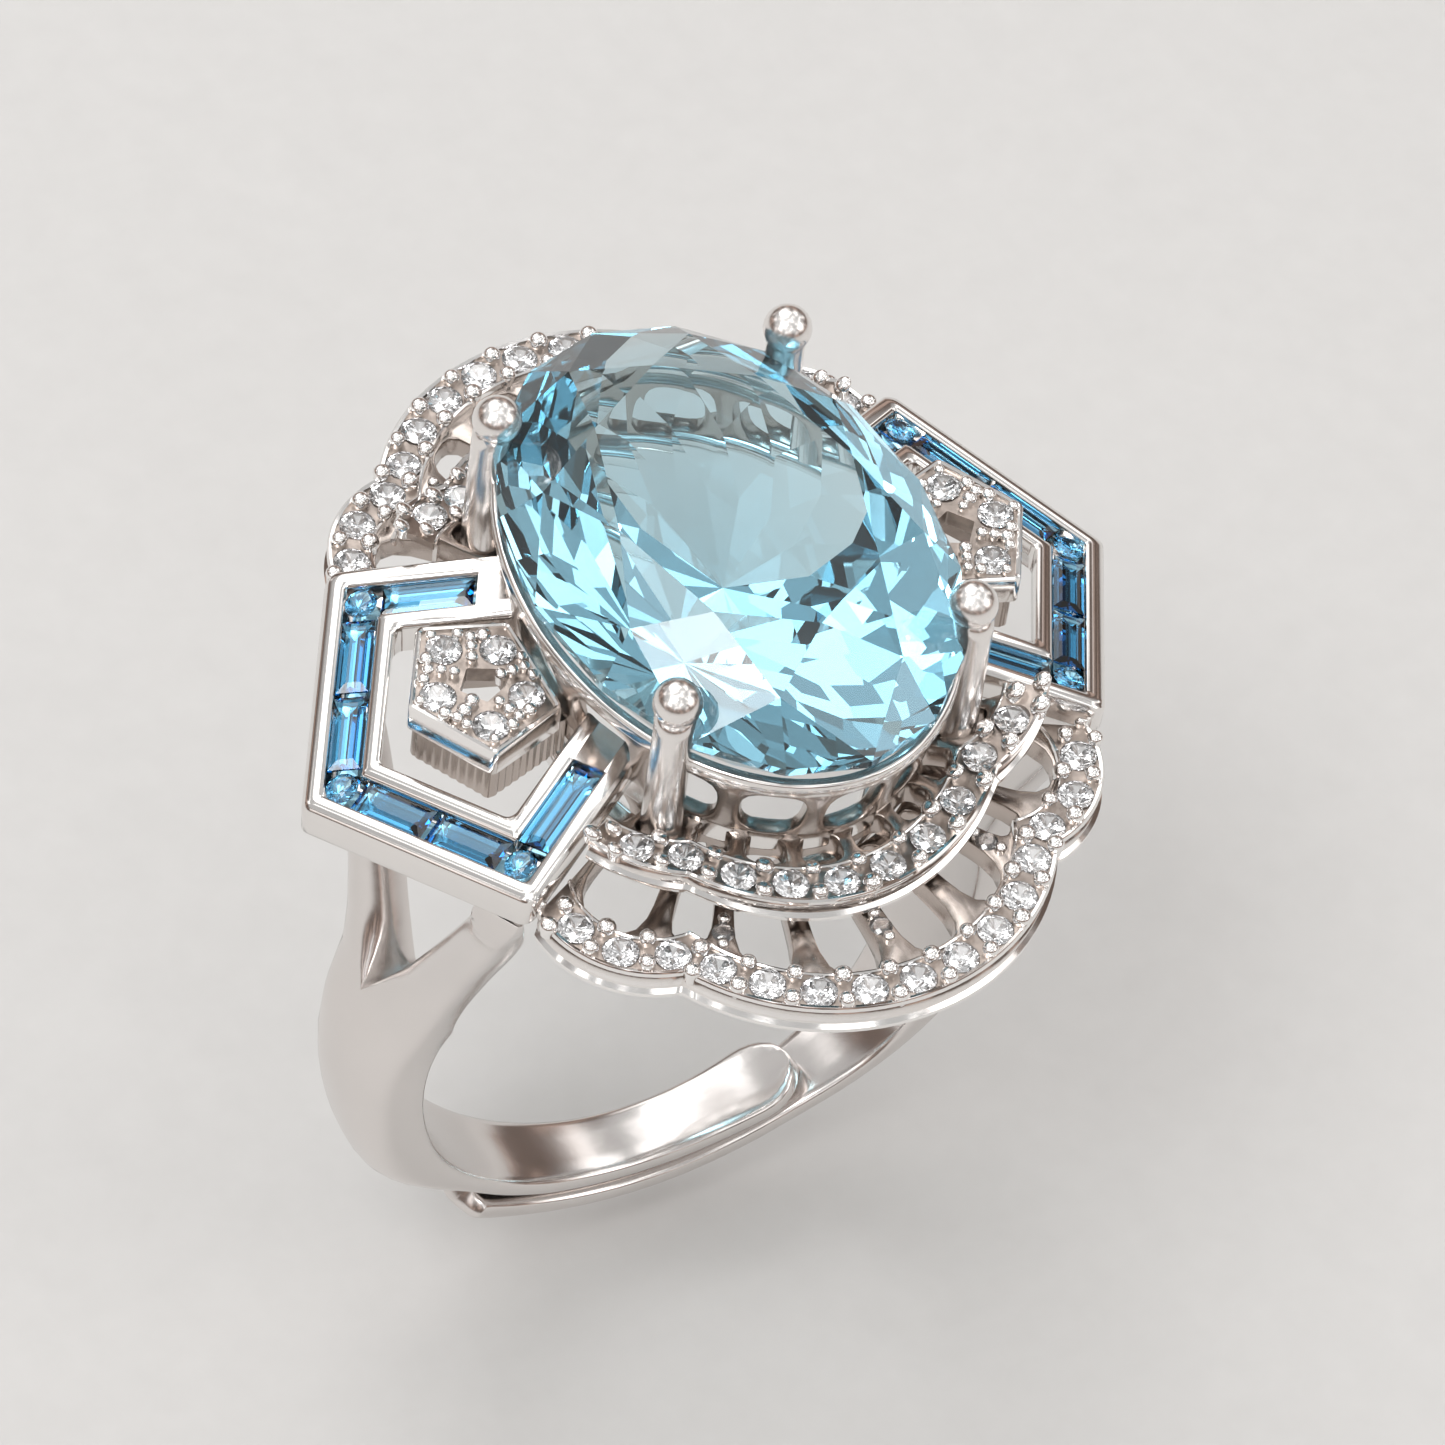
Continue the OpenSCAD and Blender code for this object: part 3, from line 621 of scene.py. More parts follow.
def fillet(before, corner, after, radius, steps=6):
    """Points of a rounded corner."""
    a, b = (before - corner).normalized(), (after - corner).normalized()
    half = acos(max(-1, min(1, a.dot(b)))) / 2
    reach = radius / tan(half)
    centre = corner + (a + b).normalized() * radius / sin(half)
    p, q = corner + a * reach - centre, corner + b * reach - centre
    turn = atan2(p.x * q.y - p.y * q.x, p.dot(q))
    points = []
    for k in range(steps + 1):
        c, s = cos(turn * k / steps), sin(turn * k / steps)
        points.append(centre + Vector((p.x * c - p.y * s, p.x * s + p.y * c)))
    return points


def flip(p):
    return Vector((p.x, -p.y))


def wing_corner(inset):
    return WING_CORNER + (TIP_DIR + SIDE_DIR) * inset


def wing_tip(inset):
    return Vector((WING_X - inset / sin(radians(60)), 0))


def frame_line(inset, height, radius, in_channel):
    """One line along the wing frame, from the gallery round the tip and back."""
    corner, tip = wing_corner(inset), wing_tip(inset)
    end = corner + SIDE_DIR * to_oval(corner, SIDE_DIR, BAND_OUT - JOIN_K, -1)
    stop = corner + SIDE_DIR * (STOP_AT - inset)
    covered = CHANNEL_COVER if in_channel else height
    half = [(end, covered), (stop, covered), (stop, height)]
    half += [(p, height) for p in fillet(stop, corner, tip, radius)]
    points = half + [(p, height) for p in fillet(corner, tip, flip(corner), radius)]
    points += [(flip(p), h) for p, h in half[::-1]]
    return [Vector((p.x, p.y, h)) for p, h in points]


def wing_frame(sx):
    lines = [frame_line(*row) for row in FRAME_PROFILE]
    return Shape().add(rings([list(section) for section in zip(*lines)]), mirrored(sx) @ WING_PLANE)


def turn_to(p, q):
    return Matrix.Rotation(atan2(q.y - p.y, q.x - p.x), 4, "Z")


channel_corner, channel_tip = wing_corner(CHANNEL_IN), wing_tip(CHANNEL_IN)
channel_stop = channel_corner + SIDE_DIR * CHANNEL_END
tip_run = (channel_corner - channel_tip).length
BAGUETTE_W = CHANNEL_W - 0.05
BAGUETTE_Z, BAGUETTE_CROWN, BAGUETTE_DEPTH = -0.2, 0.14, 0.36
ROUND_END = CHANNEL_W / 2 + 0.08
BAGUETTE_LEN = (tip_run - 2 * ROUND_END - 0.12) / 2


def wing_baguettes(sx):
    shape = Shape()
    place = mirrored(sx) @ WING_PLANE
    for side in (1, -1):
        corner = channel_corner if side > 0 else flip(channel_corner)
        stop = channel_stop if side > 0 else flip(channel_stop)
        runs = [(channel_tip, corner, ROUND_END, BAGUETTE_LEN),
                (channel_tip, corner, tip_run - ROUND_END - BAGUETTE_LEN, BAGUETTE_LEN),
                (corner, stop, ROUND_END, CHANNEL_END - ROUND_END - 0.06)]
        for p, q, start, length in runs:
            middle = p + (q - p).normalized() * (start + length / 2)
            lean = Matrix.Rotation(rng.uniform(-0.03, 0.03), 4, "X")
            at = move_to(middle, BAGUETTE_Z) @ turn_to(p, q) @ lean
            shape.add(step_cut(length - 0.03, BAGUETTE_W, BAGUETTE_CROWN, BAGUETTE_DEPTH), place @ at)
    return shape


def wing_rounds(sx):
    shape = Shape()
    place = mirrored(sx) @ WING_PLANE
    for p in (channel_tip, channel_corner, flip(channel_corner)):
        at = Matrix.Translation((0, 0, -0.04)) @ place_stone(p, 0, BAGUETTE_W, rng.uniform(0, 1))
        shape.add(BRILLIANT, place @ at)
    return shape


for side_name, sx in (("left", -1), ("right", 1)):
    keep(wing_frame(sx).object(side_name + "_wing_frame", RIM_SILVER, smooth=35),
         "silver", "wing_frame_" + side_name)
    keep(wing_baguettes(sx).object(side_name + "_channel_baguettes", TEAL_STONE),
         "teal_stone", "wing_baguettes_" + side_name)
    keep(wing_rounds(sx).object(side_name + "_channel_rounds", TEAL_STONE),
         "teal_stone", "wing_round_stones_" + side_name)


# ---- settings of the small stones

HOLE_R = 0.46
FLOOR_Z, FLOOR_T = -0.11, 0.22
SEAT_SIDES, BEAD_SIDES = 20, 14
BEAD_BASE = -0.3
# From stone to stone, from the row's middle to a bead, and how far a table stands over the metal
PAVE_STEP, BEAD_OFF, STONE_UP = 1.15, 0.4, 0.09


def circle(at, r):
    return [Vector((at[0] + r * cos(a), at[1] + r * sin(a)))
            for a in (2 * pi * i / SEAT_SIDES for i in range(SEAT_SIDES))]


def inside(p, loop):
    hit = False
    for a, b in zip(loop, loop[1:] + loop[:1]):
        if (a.y > p.y) != (b.y > p.y) and p.x < (b.x - a.x) * (p.y - a.y) / (b.y - a.y) + a.x:
            hit = not hit
    return hit


def plate(outline, holes, top, bottom):
    """A flat plate with holes right through it."""
    loops = [outline] + holes
    points, edges = [], []
    for loop in loops:
        start = len(points)
        points += [Vector(p) for p in loop]
        edges += [(start + i, start + (i + 1) % len(loop)) for i in range(len(loop))]
    made = delaunay_2d_cdt(points, edges, [], 0, 1e-5)
    flat, triangles = made[0], made[2]
    verts = [Vector((p.x, p.y, top)) for p in flat] + [Vector((p.x, p.y, bottom)) for p in flat]
    count = len(flat)
    faces = []
    rims = {}
    for tri in triangles:
        middle = sum((flat[i] for i in tri), Vector((0, 0))) / 3
        if not inside(middle, outline) or any(inside(middle, h) for h in holes):
            continue
        tri = list(tri)
        faces += [tri, [i + count for i in tri[::-1]]]
        for i, j in zip(tri, tri[1:] + tri[:1]):
            if (j, i) in rims:
                del rims[(j, i)]
            else:
                rims[(i, j)] = True
    faces += [[j, i, i + count, j + count] for i, j in rims]
    return verts, faces


def cup(depth):
    """The collar of a stone's seat: a cone that opens into a hole at the back."""
    profile = [(HOLE_R, FLOOR_Z), (0.24, -0.55), (0.24, -depth + 0.05), (0.33, -depth + 0.05),
               (0.42, -0.5), (0.53, -0.3), (0.53, FLOOR_Z - 0.04)]
    return lathe(profile, SEAT_SIDES, closed=True)


def bead(r, top):
    """A raised bead of metal with a slightly flattened, polished head."""
    # Shares of the radius: how far out, and how far under the top
    head = [(0.86, 1.35), (1, 0.75), (0.96, 0.5), (0.82, 0.25), (0.55, 0.07), (0.2, 0), (0.02, 0)]
    profile = [(r * 0.8, BEAD_BASE)] + [(r * out, top - down * r) for out, down in head]
    return lathe(profile, BEAD_SIDES)


def set_stone(at, z, most):
    """Places a white stone over metal at z, turned and leaning by chance, by up to most radians."""
    tilt = (rng.uniform(-most, most), rng.uniform(-most, most))
    return place_stone(at, z + STONE_UP, PAVE_D, rng.uniform(0, 1), tilt)


def circle_hit(c0, r0, c1, r1):
    """Where two circles meet, the point further to the front."""
    d = c1 - c0
    dist = d.length
    along = (r0 * r0 - r1 * r1 + dist * dist) / (2 * dist)
    h = sqrt(max(r0 * r0 - along * along, 0))
    base = c0 + d * along / dist
    side = Vector((-d.y, d.x)) / dist * h
    return min((base + side, base - side), key=lambda p: p.y)


def angle_on(centre, p):
    return degrees(atan2(p.x - centre.x, -(p.y - centre.y)))


class Halo:
    """A scalloped row of stones: a middle lobe and a smaller lobe on each side.

    A row with an arch rises to both sides, along a circle of that radius."""

    def __init__(self, mid, mid_r, mid_angles, side, side_r, side_angles, ends, top, t, arch=0.0):
        self.mid, self.mid_r, self.side, self.side_r = Vector(mid), mid_r, Vector(side), side_r
        self.ends, self.top, self.t, self.arch = ends, top, t, arch
        right = [polar(side, side_r, a) for a in side_angles]
        middle = [polar(mid, mid_r, a) for a in mid_angles]
        self.spots = [Vector((-p.x, p.y)) for p in right[::-1]] + middle + right

    def top_at(self, x):
        return self.top + (self.arch - sqrt(self.arch**2 - x * x) if self.arch else 0.0)

    def path(self, d):
        """The row's outline moved out by d, from its left end to its right end."""
        n_mid, n_side = 16, 18
        meet = circle_hit(self.mid, self.mid_r + d, self.side, self.side_r + d)
        end_angle, spread = self.ends
        last = end_angle - spread * d / HALO_HALF_W
        a_mid, a_side = angle_on(self.mid, meet), angle_on(self.side, meet)
        right = [polar(self.mid, self.mid_r + d, a_mid * k / n_mid) for k in range(n_mid)]
        right += [polar(self.side, self.side_r + d, a_side + (last - a_side) * k / n_side)
                  for k in range(n_side + 1)]
        return [Vector((-p.x, p.y)) for p in right[:0:-1]] + right

    def reach(self, origin, angle, d):
        """The furthest point of the outline moved out by d, on a ray from origin."""
        ray = Vector((sin(angle), -cos(angle)))
        far = 0.0
        for c, r in ((self.mid, self.mid_r), (self.side, self.side_r),
                     (Vector((-self.side.x, self.side.y)), self.side_r)):
            rel = origin - c
            b = rel.dot(ray)
            disc = b * b - (rel.dot(rel) - (r + d) ** 2)
            if disc > 0:
                far = max(far, -b + sqrt(disc))
        return origin + ray * far

    def wall(self, section):
        """Sweeps (out, up) points of a closed section along the row's outline."""
        lines = [[Vector((p.x, p.y, z)) for p in self.path(d)] for d, z in section]
        return rings([list(s) for s in zip(*lines)])

    def bead_spots(self):
        """Places of the beads: a pair between two stones, and a pair and a single one past each end."""
        ahead = self.spots[-1] + (self.spots[-1] - self.spots[-2]).normalized() * PAVE_STEP
        chain = [Vector((-ahead.x, ahead.y))] + self.spots + [ahead]
        spots = [(p + q) / 2 + Vector(((p - q).y, (q - p).x)).normalized() * s * BEAD_OFF
                 for p, q in zip(chain, chain[1:]) for s in (1, -1)]
        return spots + [chain[0], chain[-1]]

    def lift(self, shape):
        """Raises a shape made on the level z = 0 to the row's top."""
        for v in shape.verts:
            v.z += self.top_at(v.x)
        return shape

    def rims(self):
        """The two edge walls, the outer one grooved under its rim, and the beads."""
        shape, t = Shape(), self.t
        shape.add(self.wall([(0.5, -t), (0.6, -t), (0.67, -t + 0.08), (0.67, -t + 0.2), (0.56, -t + 0.3),
                             (0.56, -0.26), (0.63, -0.16), (0.63, -0.06), (0.58, 0.0), (0.5, -0.02),
                             (0.48, -0.14)]))
        shape.add(self.wall([(-0.48, -0.14), (-0.49, -0.04), (-0.53, -0.01), (-0.58, -0.04),
                             (-0.6, -0.14), (-0.6, -t + 0.05), (-0.55, -t), (-0.5, -t)]))
        for at in self.bead_spots():
            shape.add(bead(rng.uniform(0.22, 0.27), rng.uniform(0.2, 0.28)), move_to(at))
        return self.lift(shape)

    def seats(self):
        """The floor between the walls and the collars under the stones."""
        shape = Shape()
        outline = self.path(0.52) + self.path(-0.52)[::-1]
        holes = [circle(p, HOLE_R) for p in self.spots]
        shape.add(plate(outline, holes, FLOOR_Z, FLOOR_Z - FLOOR_T))
        collar = cup(self.t)
        for p in self.spots:
            shape.add(collar, move_to(p))
        return self.lift(shape)

    def stones(self):
        shape = Shape()
        for p in self.spots:
            shape.add(BRILLIANT, set_stone(p, self.top_at(p.x), 0.06))
        return shape


# Each lobe's centre, radius and stones' angles, the middle one's and then the side ones', and the
# angle where the row ends, with how far its edges spread there
OUTER_HALO = Halo((0, -5.82), 5.8, [13.2 * k for k in range(-4, 5)], (4.9, -5.95), 2.62, [13, 43, 73],
                  (100, 10), OUTER_TOP, OUTER_T)
INNER_HALO = Halo((0, -2.95), 5.6, [14.1 * (k + 0.5) for k in range(-3, 3)], (3.6, -3.3), 3.4, [12.5, 34.5],
                  (52, 0), INNER_TOP, INNER_T, INNER_ARCH_R)


# ---- pierced walls and ribs


def pierced(surface, edges, rib, low, high, loop=False):
    """A wall with one round-cornered window between each pair of ribs.

    surface(u, v) gives a point and half the wall's thickness as a vector; v runs from 0 to 1, and the
    window from low to high. edges are the ribs' places along u and rib is half a rib's width in u. A
    wall that is a loop has no end faces."""
    count, power = 24, 3.2
    verts, faces = [], []
    for i, (u0, u1) in enumerate(zip(edges, edges[1:])):
        uc, du = (u0 + u1) / 2, (u1 - u0) / 2
        vc, dv = (low + high) / 2, (high - low) / 2
        border, window = [], []
        for k in range(count):
            a = 2 * pi * k / count
            c, s = cos(a), sin(a)
            m = max(abs(c), abs(s))
            border.append((uc + du * c / m, 0.5 + 0.5 * s / m))
            bend = (abs(c) ** power + abs(s) ** power) ** (-1 / power)
            window.append((uc + (du - rib) * c * bend, vc + dv * s * bend))
        start = len(verts)
        for sign in (1, -1):
            for u, v in border + window:
                p, half = surface(u, v)
                verts.append(p + half * sign)
        n = 2 * count
        for k in range(count):
            k1 = (k + 1) % count
            a, b = start + k, start + k1
            faces += [[a, b, b + count, a + count], [a + n, a + n + count, b + n + count, b + n],
                      [a + count, b + count, b + n + count, a + n + count]]
            (ua, va), (ub, vb) = border[k], border[k1]
            level = abs(va - vb) < 1e-9
            at_end = not loop and any(max(abs(ua - e), abs(ub - e)) < 1e-9 for e in (edges[0], edges[-1]))
            if level or at_end:
                faces.append([a, a + n, b + n, b])
    return verts, faces


def fan_surface(origin, halo, out, z0, z1, thick):
    """A nearly flat surface from the gallery band to a halo: u is an angle and v runs outwards."""
    origin = Vector(origin)

    def at(u, v):
        a = radians(u)
        ray = Vector((sin(a), -cos(a)))
        inner = origin + ray * to_oval(origin, ray, BAND_OUT - JOIN_K, 1)
        outer = halo.reach(origin, a, out)
        p = inner + (outer - inner) * v
        rise = halo.top_at(p.x) - halo.top
        return Vector((p.x, p.y, z0 + (z1 + rise - z0) * v)), Vector((0, 0, thick / 2))
    return at


RIB_EDGES = [-60, -46, -31, -15.5, 0, 15.5, 31, 46, 60]
STRUT_EDGES = [-60, -41, -29, -14.5, 0, 14.5, 29, 41, 60]
STRUT_STONES, STRUT_STONE_D = ((-29, 8.0), (0, 8.4), (29, 8.0)), 0.62
RIB_MID_Z = GIRDLE_Z - 4.0
STRUT_ORIGIN = (0, -1.2)
STRUT_TOP = OUTER_TOP - OUTER_T + 0.7

for side_name, sy in (("front", 1), ("back", -1)):
    place = mirrored(1, sy)
    for kind, halo in (("outer", OUTER_HALO), ("inner", INNER_HALO)):
        name = side_name + "_" + kind + "_halo"
        keep(halo.rims().moved(place).object(name, BEAD_SILVER, smooth=40),
             "silver", kind + "_halo_" + side_name)
        keep(halo.seats().moved(place).object(name + "_seats", SHADED_RECESS_SILVER, smooth=40), "silver")
        keep(halo.stones().moved(place).object(name + "_stones", WHITE_STONE),
             "white_stone", kind + "_halo_stones_" + side_name)
    ribs = fan_surface((0, -2.0), INNER_HALO, -0.52, RIB_MID_Z, INNER_TOP - 0.45, 0.8)
    struts = fan_surface(STRUT_ORIGIN, OUTER_HALO, -0.5, STRUT_TOP - 0.35, STRUT_TOP - 0.35, 0.7)
    for name, node, wall in (
            ("_gallery_ribs", "halo_ribs_", pierced(ribs, RIB_EDGES, 2.0, 0.08, 0.9)),
            ("_halo_struts", "halo_struts_", pierced(struts, STRUT_EDGES, 2.1, 0.04, 0.95))):
        piece = Shape().add(wall, place)
        keep(piece.object(side_name + name, SHADED_CAST_SILVER, smooth=40, weld=0.002, bevel=0.06),
             "silver", node + side_name)
    gems, knobs = Shape(), Shape()
    for a, reach in STRUT_STONES:
        at = polar(STRUT_ORIGIN, reach, a)
        gems.add(BRILLIANT, place @ place_stone(at, STRUT_TOP + 0.1, STRUT_STONE_D, a))
        out = (at - Vector(STRUT_ORIGIN)).normalized()
        for s in (1, -1):
            knobs.add(bead(0.17, 0.2), place @ move_to(at + out * 0.42 * s, STRUT_TOP))
    keep(gems.object(side_name + "_strut_stones", WHITE_STONE), "white_stone", "strut_stones_" + side_name)
    keep(knobs.object(side_name + "_strut_beads", BEAD_SILVER, smooth=40), "silver")


# ---- gallery and prongs

POSTS = 16
# How far out a prong's foot is, as a share of its elbow's distance
FOOT_K, PRONG_SIDES = 0.74, 24


def gallery_wall(k0, z0, k1, z1, thick):
    def at(u, v):
        p = oval(k0 + (k1 - k0) * v, u)
        n = oval_normal(u)
        return Vector((p.x, p.y, z0 + (z1 - z0) * v)), Vector((n.x, n.y, 0)) * thick / 2
    return at


post_edges = [2 * pi * (i + 0.5) / POSTS for i in range(POSTS + 1)]
# Each tier of arches: the oval's scale and the height at its foot and at its head, and its thickness
TIERS = [(0.75, rail_hi.z - 0.1, 0.85, band_lo.z + 0.1, 0.5),
         (0.885, band_hi.z - 0.1, 0.955, seat_lo.z + 0.1, 0.45)]
arcade = Shape()
for tier in TIERS:
    arcade.add(pierced(gallery_wall(*tier), post_edges, 0.05, 0.06, 0.9, loop=True))
keep(arcade.object("gallery_arches", SHADED_CAST_SILVER, smooth=40, weld=0.002, bevel=0.06),
     "silver", "gallery_posts")

for node, name, k, width, lo, hi in (
        ("seat_ring", "stone_seat_rail", (seat_hi.x / STONE_A + 0.95) / 2, 0.34, seat_lo, seat_hi),
        ("gallery_band", "gallery_middle_rail", BAND_OUT - 0.03, 0.42, band_lo, band_hi),
        ("base_rail", "gallery_base_rail", RAIL_OUT - 0.06, 0.8, rail_lo, rail_hi)):
    height = hi.z - lo.z
    ring = oval_ring(k, (hi.z + lo.z) / 2, rounded_section(width, height, min(width, height) * 0.32))
    keep(Shape().add(ring).object(name, RIM_SILVER, smooth=50), "silver", node)


def prong(sx, sy):
    """A stem that rises from the base rail, bends up and ends in a bead over the girdle."""
    foot = Vector((sx * PRONG_AT.x * FOOT_K, sy * PRONG_AT.y * FOOT_K, rail_hi.z - 0.15))
    elbow = Vector((sx * PRONG_AT.x, sy * PRONG_AT.y, GIRDLE_Z - 4.2))
    path = [(foot.lerp(elbow, t), 0.44 + 0.1 * t) for t in (0, 0.3, 0.6, 0.82)]
    path += [(foot.lerp(elbow, 0.94) + Vector((0, 0, 0.08)), 0.55), (elbow + Vector((0, 0, 0.35)), 0.56)]
    path += [(elbow + Vector((0, 0, h)), 0.56 - 0.008 * h) for h in (0.8, 1.8, 2.8, 3.6, 4.2, 4.7)]
    lean = Vector((-sx * 0.07, -sy * 0.09, 0))
    top = Vector((elbow.x, elbow.y, PRONG_BEAD_Z)) + lean
    path += [(top + Vector((0, 0, -0.52)) - lean * 0.6, 0.55)]
    for k in range(-4, 10):
        a = pi / 2 * k / 9
        path.append((top + Vector((0, 0, 0.65 * sin(a))), max(0.66 * cos(a), 0.004)))
    loops = []
    for i, (p, r) in enumerate(path):
        ahead = path[min(i + 1, len(path) - 1)][0] - path[max(i - 1, 0)][0]
        # Up to the elbow the sections follow the stem, and above it they are level
        turn = ahead.to_track_quat("Z", "Y").to_matrix() if i < 6 else Matrix.Identity(3)
        loops.append([p + turn @ v for v in around(r, 0, PRONG_SIDES)])
    return Shape().add(rings(loops))


for side_name, sx, sy in (("front_left", -1, -1), ("front_right", 1, -1), ("back_left", -1, 1),
                          ("back_right", 1, 1)):
    keep(prong(sx, sy).object(side_name + "_prong", PRONG_SILVER, smooth=60),
         "silver", "prong_" + side_name)


# ---- raised pentagons


def pentagon(inner_x, inner_y):
    """The raised pentagon's outline, with its two inner corners at a given place."""
    return [Vector(p) for p in ((9.1, 0), (7.75, 2.35), (inner_x, inner_y), (inner_x, -inner_y),
                                (7.75, -2.35))]


PENTAGON, SKIRT = pentagon(5.4, 1.58), pentagon(4.9, 1.45)
PAVE_SPOTS = [Vector(p) for p in ((8.25, 0), (7.4, 1.4), (6.1, 0.85), (6.1, -0.85), (7.4, -1.4))]
PAVE_T = 0.9
PENTAGON_MIDDLE = Vector((7.0, 0))
PENTAGON_HOLE = [Vector(p) for p in ((7.62, 0), (7.12, 0.62), (6.42, 0.3), (6.42, -0.3), (7.12, -0.62))]
FLUTE_DEPTH, FLUTE_STEP, FLUTE_PITCH = 0.045, 0.045, 0.26


def inset_loop(loop, d):
    """A closed loop of straight sides, each moved inwards by d."""
    out = []
    for i, p in enumerate(loop):
        a, b = loop[i - 1], loop[(i + 1) % len(loop)]
        u, v = (p - a).normalized(), (b - p).normalized()
        nu, nv = Vector((-u.y, u.x)), Vector((-v.y, v.x))
        out.append(p + (nu + nv) / (1 + nu.dot(nv)) * d)
    return out


def round_loop(loop, radius):
    out = []
    for i, p in enumerate(loop):
        out += fillet(loop[i - 1], p, loop[(i + 1) % len(loop)], radius, steps=4)
    return out


def pentagon_plate(sx):
    """The pentagon's rim, with a cluster of beads between stones and single ones at the outer corners."""
    shape = Shape()
    place = mirrored(sx) @ Matrix.Translation((0, 0, PAVE_TOP))
    rim = [(0.0, -PAVE_T), (0.0, -0.12), (0.03, -0.03), (0.09, 0.0), (0.15, -0.03), (0.17, -0.16),
           (0.2, -PAVE_T)]
    lines = [round_loop(inset_loop(PENTAGON, s), 0.2 - 0.5 * s) for s, z in rim]
    loops = [[Vector((p.x, p.y, z)) for p in line] for line, (s, z) in zip(lines, rim)]
    shape.add(rings(loops, closed=True), place)
    cluster = ((0.34, 0.0), (-0.34, 0.0), (0.0, 0.0), (-0.42, 0.34), (-0.42, -0.34))
    for i, p in enumerate(PAVE_SPOTS):
        q = PAVE_SPOTS[(i + 1) % 5]
        m, along = (p + q) / 2, (q - p).normalized()
        for side, slide in cluster:
            at = m + Vector((-along.y, along.x)) * side + along * slide
            shape.add(bead(rng.uniform(0.15, 0.22), rng.uniform(0.12, 0.2)), place @ move_to(at))
        if i in (0, 1, 4):
            out = p + (p - PENTAGON_MIDDLE).normalized() * 0.52
            shape.add(bead(0.15, 0.14), place @ move_to(out))
    return shape


def pentagon_seats(sx):
    """The pentagon's floor, open in the middle, with the collars under its stones."""
    place = mirrored(sx) @ Matrix.Translation((0, 0, PAVE_TOP))
    holes = [circle(p, HOLE_R) for p in PAVE_SPOTS] + [round_loop(PENTAGON_HOLE, 0.06)]
    shape = Shape().add(plate(inset_loop(PENTAGON, 0.12), holes, FLOOR_Z, FLOOR_Z - 0.5), place)
    for p in PAVE_SPOTS:
        shape.add(cup(PAVE_T), place @ move_to(p))
    return shape


def fluted_skirt(sx):
    """The wall under a raised pentagon, with upright flutes."""
    low, high = band_lo.z - 0.2, PAVE_TOP - PAVE_T + 0.02
    loop = inset_loop(SKIRT, 0.2)
    inner = inset_loop(loop, 0.3)
    outer_path, inner_path = [], []
    for a, b, c, d in zip(loop, loop[1:] + loop[:1], inner, inner[1:] + inner[:1]):
        n = max(int((b - a).length / FLUTE_STEP), 2)
        out = Vector(((b - a).y, -(b - a).x)).normalized()
        for k in range(n):
            flute = FLUTE_DEPTH * abs(sin(pi * k * FLUTE_STEP / FLUTE_PITCH))
            outer_path.append(a.lerp(b, k / n) + out * flute)
            inner_path.append(c.lerp(d, k / n))
    loops = [[Vector((p.x, p.y, z)) for p in path]
             for path, z in ((outer_path, low), (outer_path, high), (inner_path, high), (inner_path, low))]
    return Shape().add(rings(loops, closed=True), mirrored(sx))


for side_name, sx in (("left", -1), ("right", 1)):
    keep(pentagon_plate(sx).object(side_name + "_raised_pentagon", BEAD_SILVER, smooth=40),
         "silver", "pave_plate_" + side_name)
    keep(pentagon_seats(sx).object(side_name + "_pentagon_seats", SHADED_RECESS_SILVER, smooth=40), "silver")
    keep(fluted_skirt(sx).object(side_name + "_fluted_skirt", SHADED_CAST_SILVER, smooth=50),
         "silver", "pave_skirt_" + side_name)
    stones = Shape()
    for p in PAVE_SPOTS:
        stones.add(BRILLIANT, mirrored(sx) @ set_stone(p, PAVE_TOP, 0.05))
    keep(stones.object(side_name + "_pentagon_stones", WHITE_STONE),
         "white_stone", "pave_stones_" + side_name)


# ---- camera, light and floor

AZIMUTH, ELEVATION, ROLL = 33.35, 49.68, 8.14
DISTANCE = 207.0
LENS = 192.0
TARGET = Vector((0.85, 0.41, 8.68))
CLOUD_SHIFT = 0.9
TENT_EDGE = (0.74, 1.0)
TENT_GAIN, PANEL_GAIN = 0.82, 2.1
PANEL_EDGE = (0.53, 0.57)
LIGHT_AIM = Vector((0, 0, 0.01))
# Degrees that an arm swings open
FLEX_MAX = 8
FLOOR_HALF, FLOOR_GAP = 6000, 0.05


def aim_camera():
    """Looks at the target from the left front and above, with the camera rolled a little."""
    az, el = radians(AZIMUTH), radians(ELEVATION)
    forward = Vector((sin(az) * cos(el), cos(az) * cos(el), -sin(el)))
    right = forward.cross(Vector((0, 0, 1))).normalized()
    up = right.cross(forward)
    roll = radians(ROLL)
    right, up = (right * cos(roll) + up * sin(roll),
                 up * cos(roll) - right * sin(roll))
    data = bpy.data.cameras.new("camera")
    data.lens = LENS
    data.sensor_width = 36.0
    data.clip_start = 0.01
    cam = bpy.data.objects.new("camera", data)
    turn = Matrix((right, up, -forward)).transposed().to_4x4()
    cam.matrix_world = Matrix.Translation((TARGET - forward * DISTANCE) * MM) @ turn
    bpy.context.scene.collection.objects.link(cam)
    bpy.context.scene.camera = cam


def area_light(name, at, size, power, colour=(1, 1, 1)):
    data = bpy.data.lights.new(name, "AREA")
    data.shape = "DISK"
    data.size = size
    data.energy = power
    data.color = colour
    lamp = bpy.data.objects.new(name, data)
    lamp.location = at
    lamp.rotation_euler = (LIGHT_AIM - Vector(at)).to_track_quat("-Z", "Y").to_euler()
    bpy.context.scene.collection.objects.link(lamp)


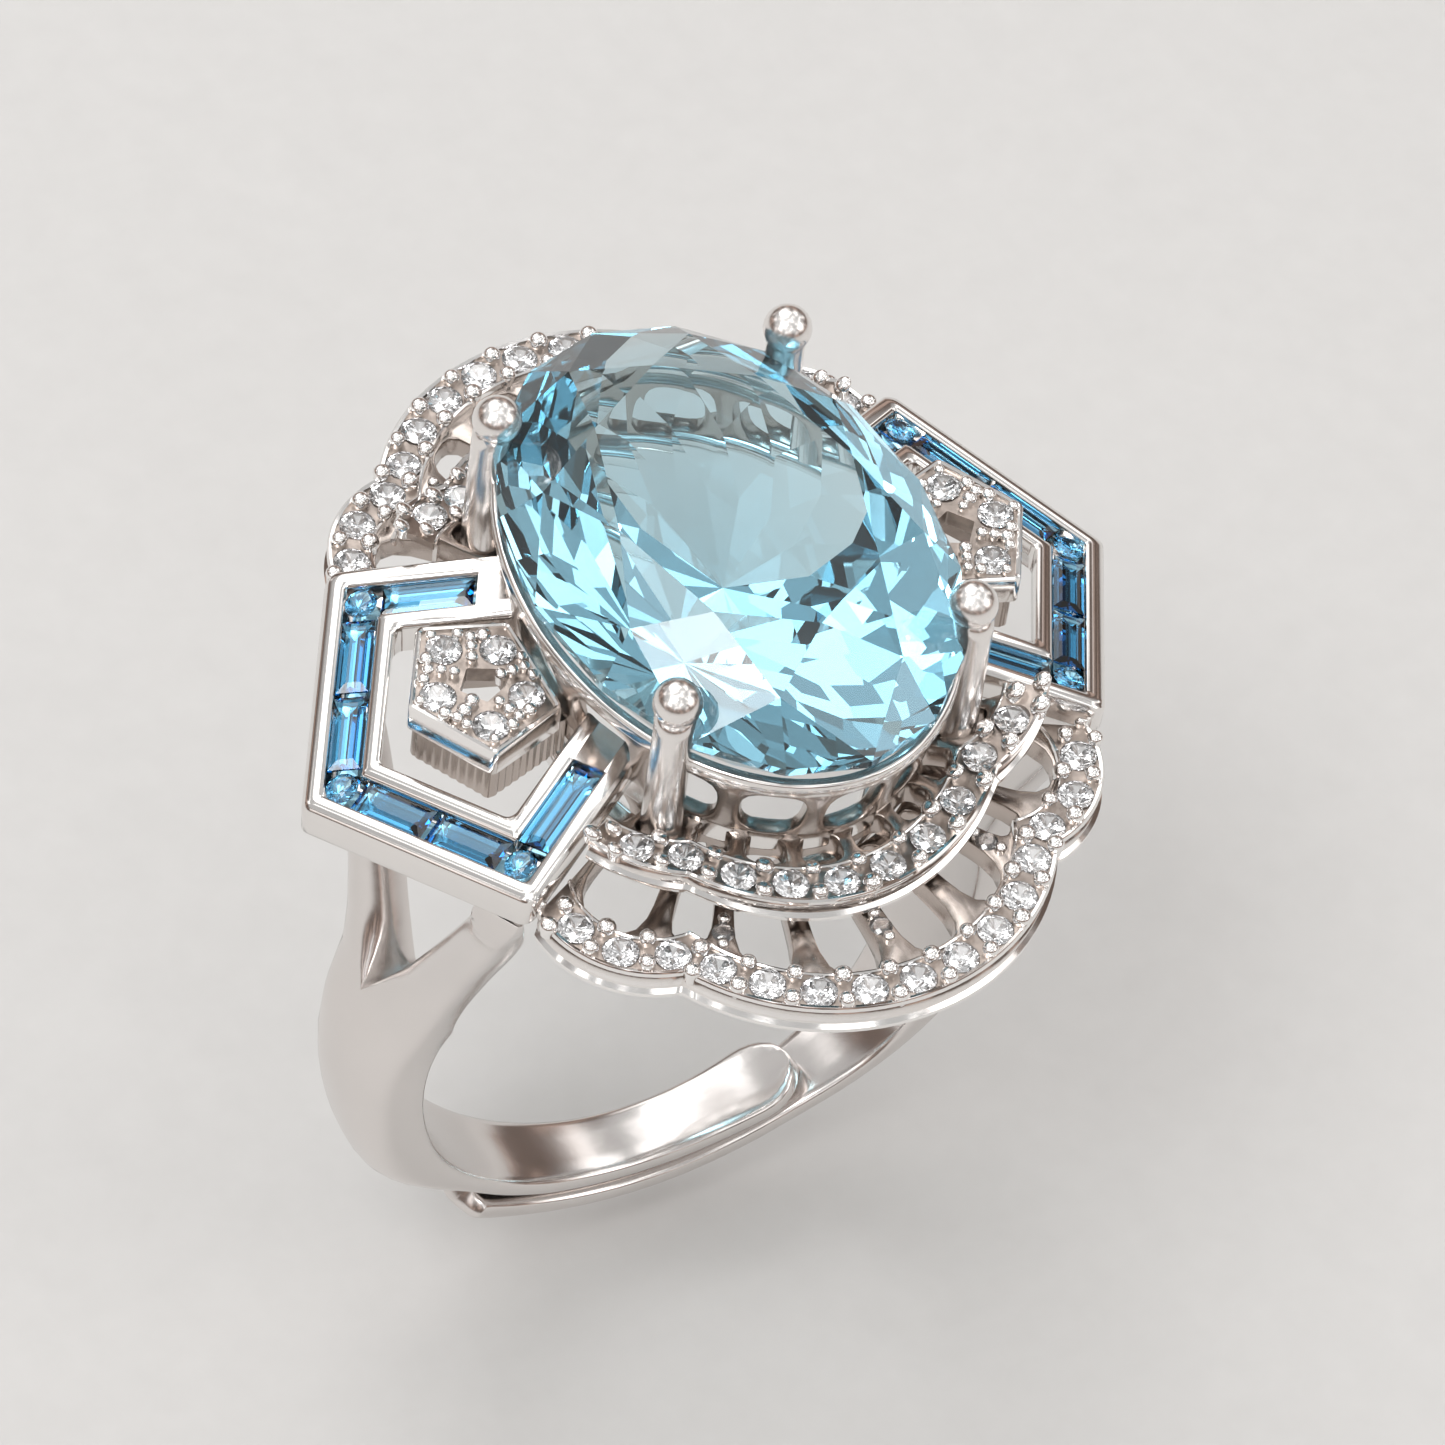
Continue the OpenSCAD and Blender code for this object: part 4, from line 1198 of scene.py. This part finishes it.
def studio():
    """A pale tent: white above, with darker warm openings near the horizon."""
    world = bpy.data.worlds.new("studio")
    bpy.context.scene.world = world
    world.use_nodes = True
    tree = world.node_tree
    back = tree.nodes["Background"]
    coords, split = add_node(tree, "TexCoord"), add_node(tree, "SeparateXYZ")
    tree.links.new(coords.outputs["Generated"], split.inputs["Vector"])
    # How bright a direction is: it rises with height, and the cloud moves the edge up and down
    shift = add_node(tree, "Math")
    shift.operation = "MULTIPLY_ADD"
    shift.inputs[1].default_value = CLOUD_SHIFT
    tree.links.new(noise(tree, 2.6, 1.5, "Generated"), shift.inputs[0])
    tree.links.new(split.outputs["Z"], shift.inputs[2])
    tone = ramp(tree, shift.outputs["Value"],
                ((TENT_EDGE[0], (0.17, 0.125, 0.105)), (TENT_EDGE[1], (0.66, 0.655, 0.65))))
    tree.links.new(tone, back.inputs["Color"])
    # Bright panels of the tent, which give the stones their flashes
    edge = add_node(tree, "MapRange", From_Min=PANEL_EDGE[0], From_Max=PANEL_EDGE[1], To_Max=PANEL_GAIN)
    tree.links.new(noise(tree, 5.5, 0.5, "Generated"), edge.inputs["Value"])
    glow = add_node(tree, "Math")
    glow.operation = "ADD"
    glow.inputs[1].default_value = TENT_GAIN
    tree.links.new(edge.outputs["Result"], glow.inputs[0])
    tree.links.new(glow.outputs["Value"], back.inputs["Strength"])
    area_light("key", (-0.25, -0.1, 0.45), 0.22, 0.9)
    area_light("fill", (0.35, -0.3, 0.25), 0.3, 0.25, (1.0, 0.98, 0.96))
    area_light("rim", (0.0, 0.3, 0.45), 0.34, 0.55)


def floor():
    mat, tree, shader = new_material("pale_floor")
    tone = ramp(tree, noise(tree, 900.0), ((0.0, (0.565, 0.558, 0.548)), (1.0, (0.605, 0.598, 0.588))))
    tree.links.new(tone, shader.inputs["Base Color"])
    shader.inputs["Roughness"].default_value = 0.6
    # Low enough for the arms, which swing down as they open
    drop = PIVOT_X * sin(radians(FLEX_MAX)) + FLOOR_GAP
    z, half = node_box("shank_arm_right")[0].z - drop, FLOOR_HALF
    corners = [Vector((x, y, z)) for x, y in ((-half, -half), (half, -half), (half, half), (-half, half))]
    Shape().add((corners, [[0, 1, 2, 3]])).object("floor", mat)


aim_camera()
studio()
floor()
bpy.context.scene.view_settings.view_transform = "Standard"
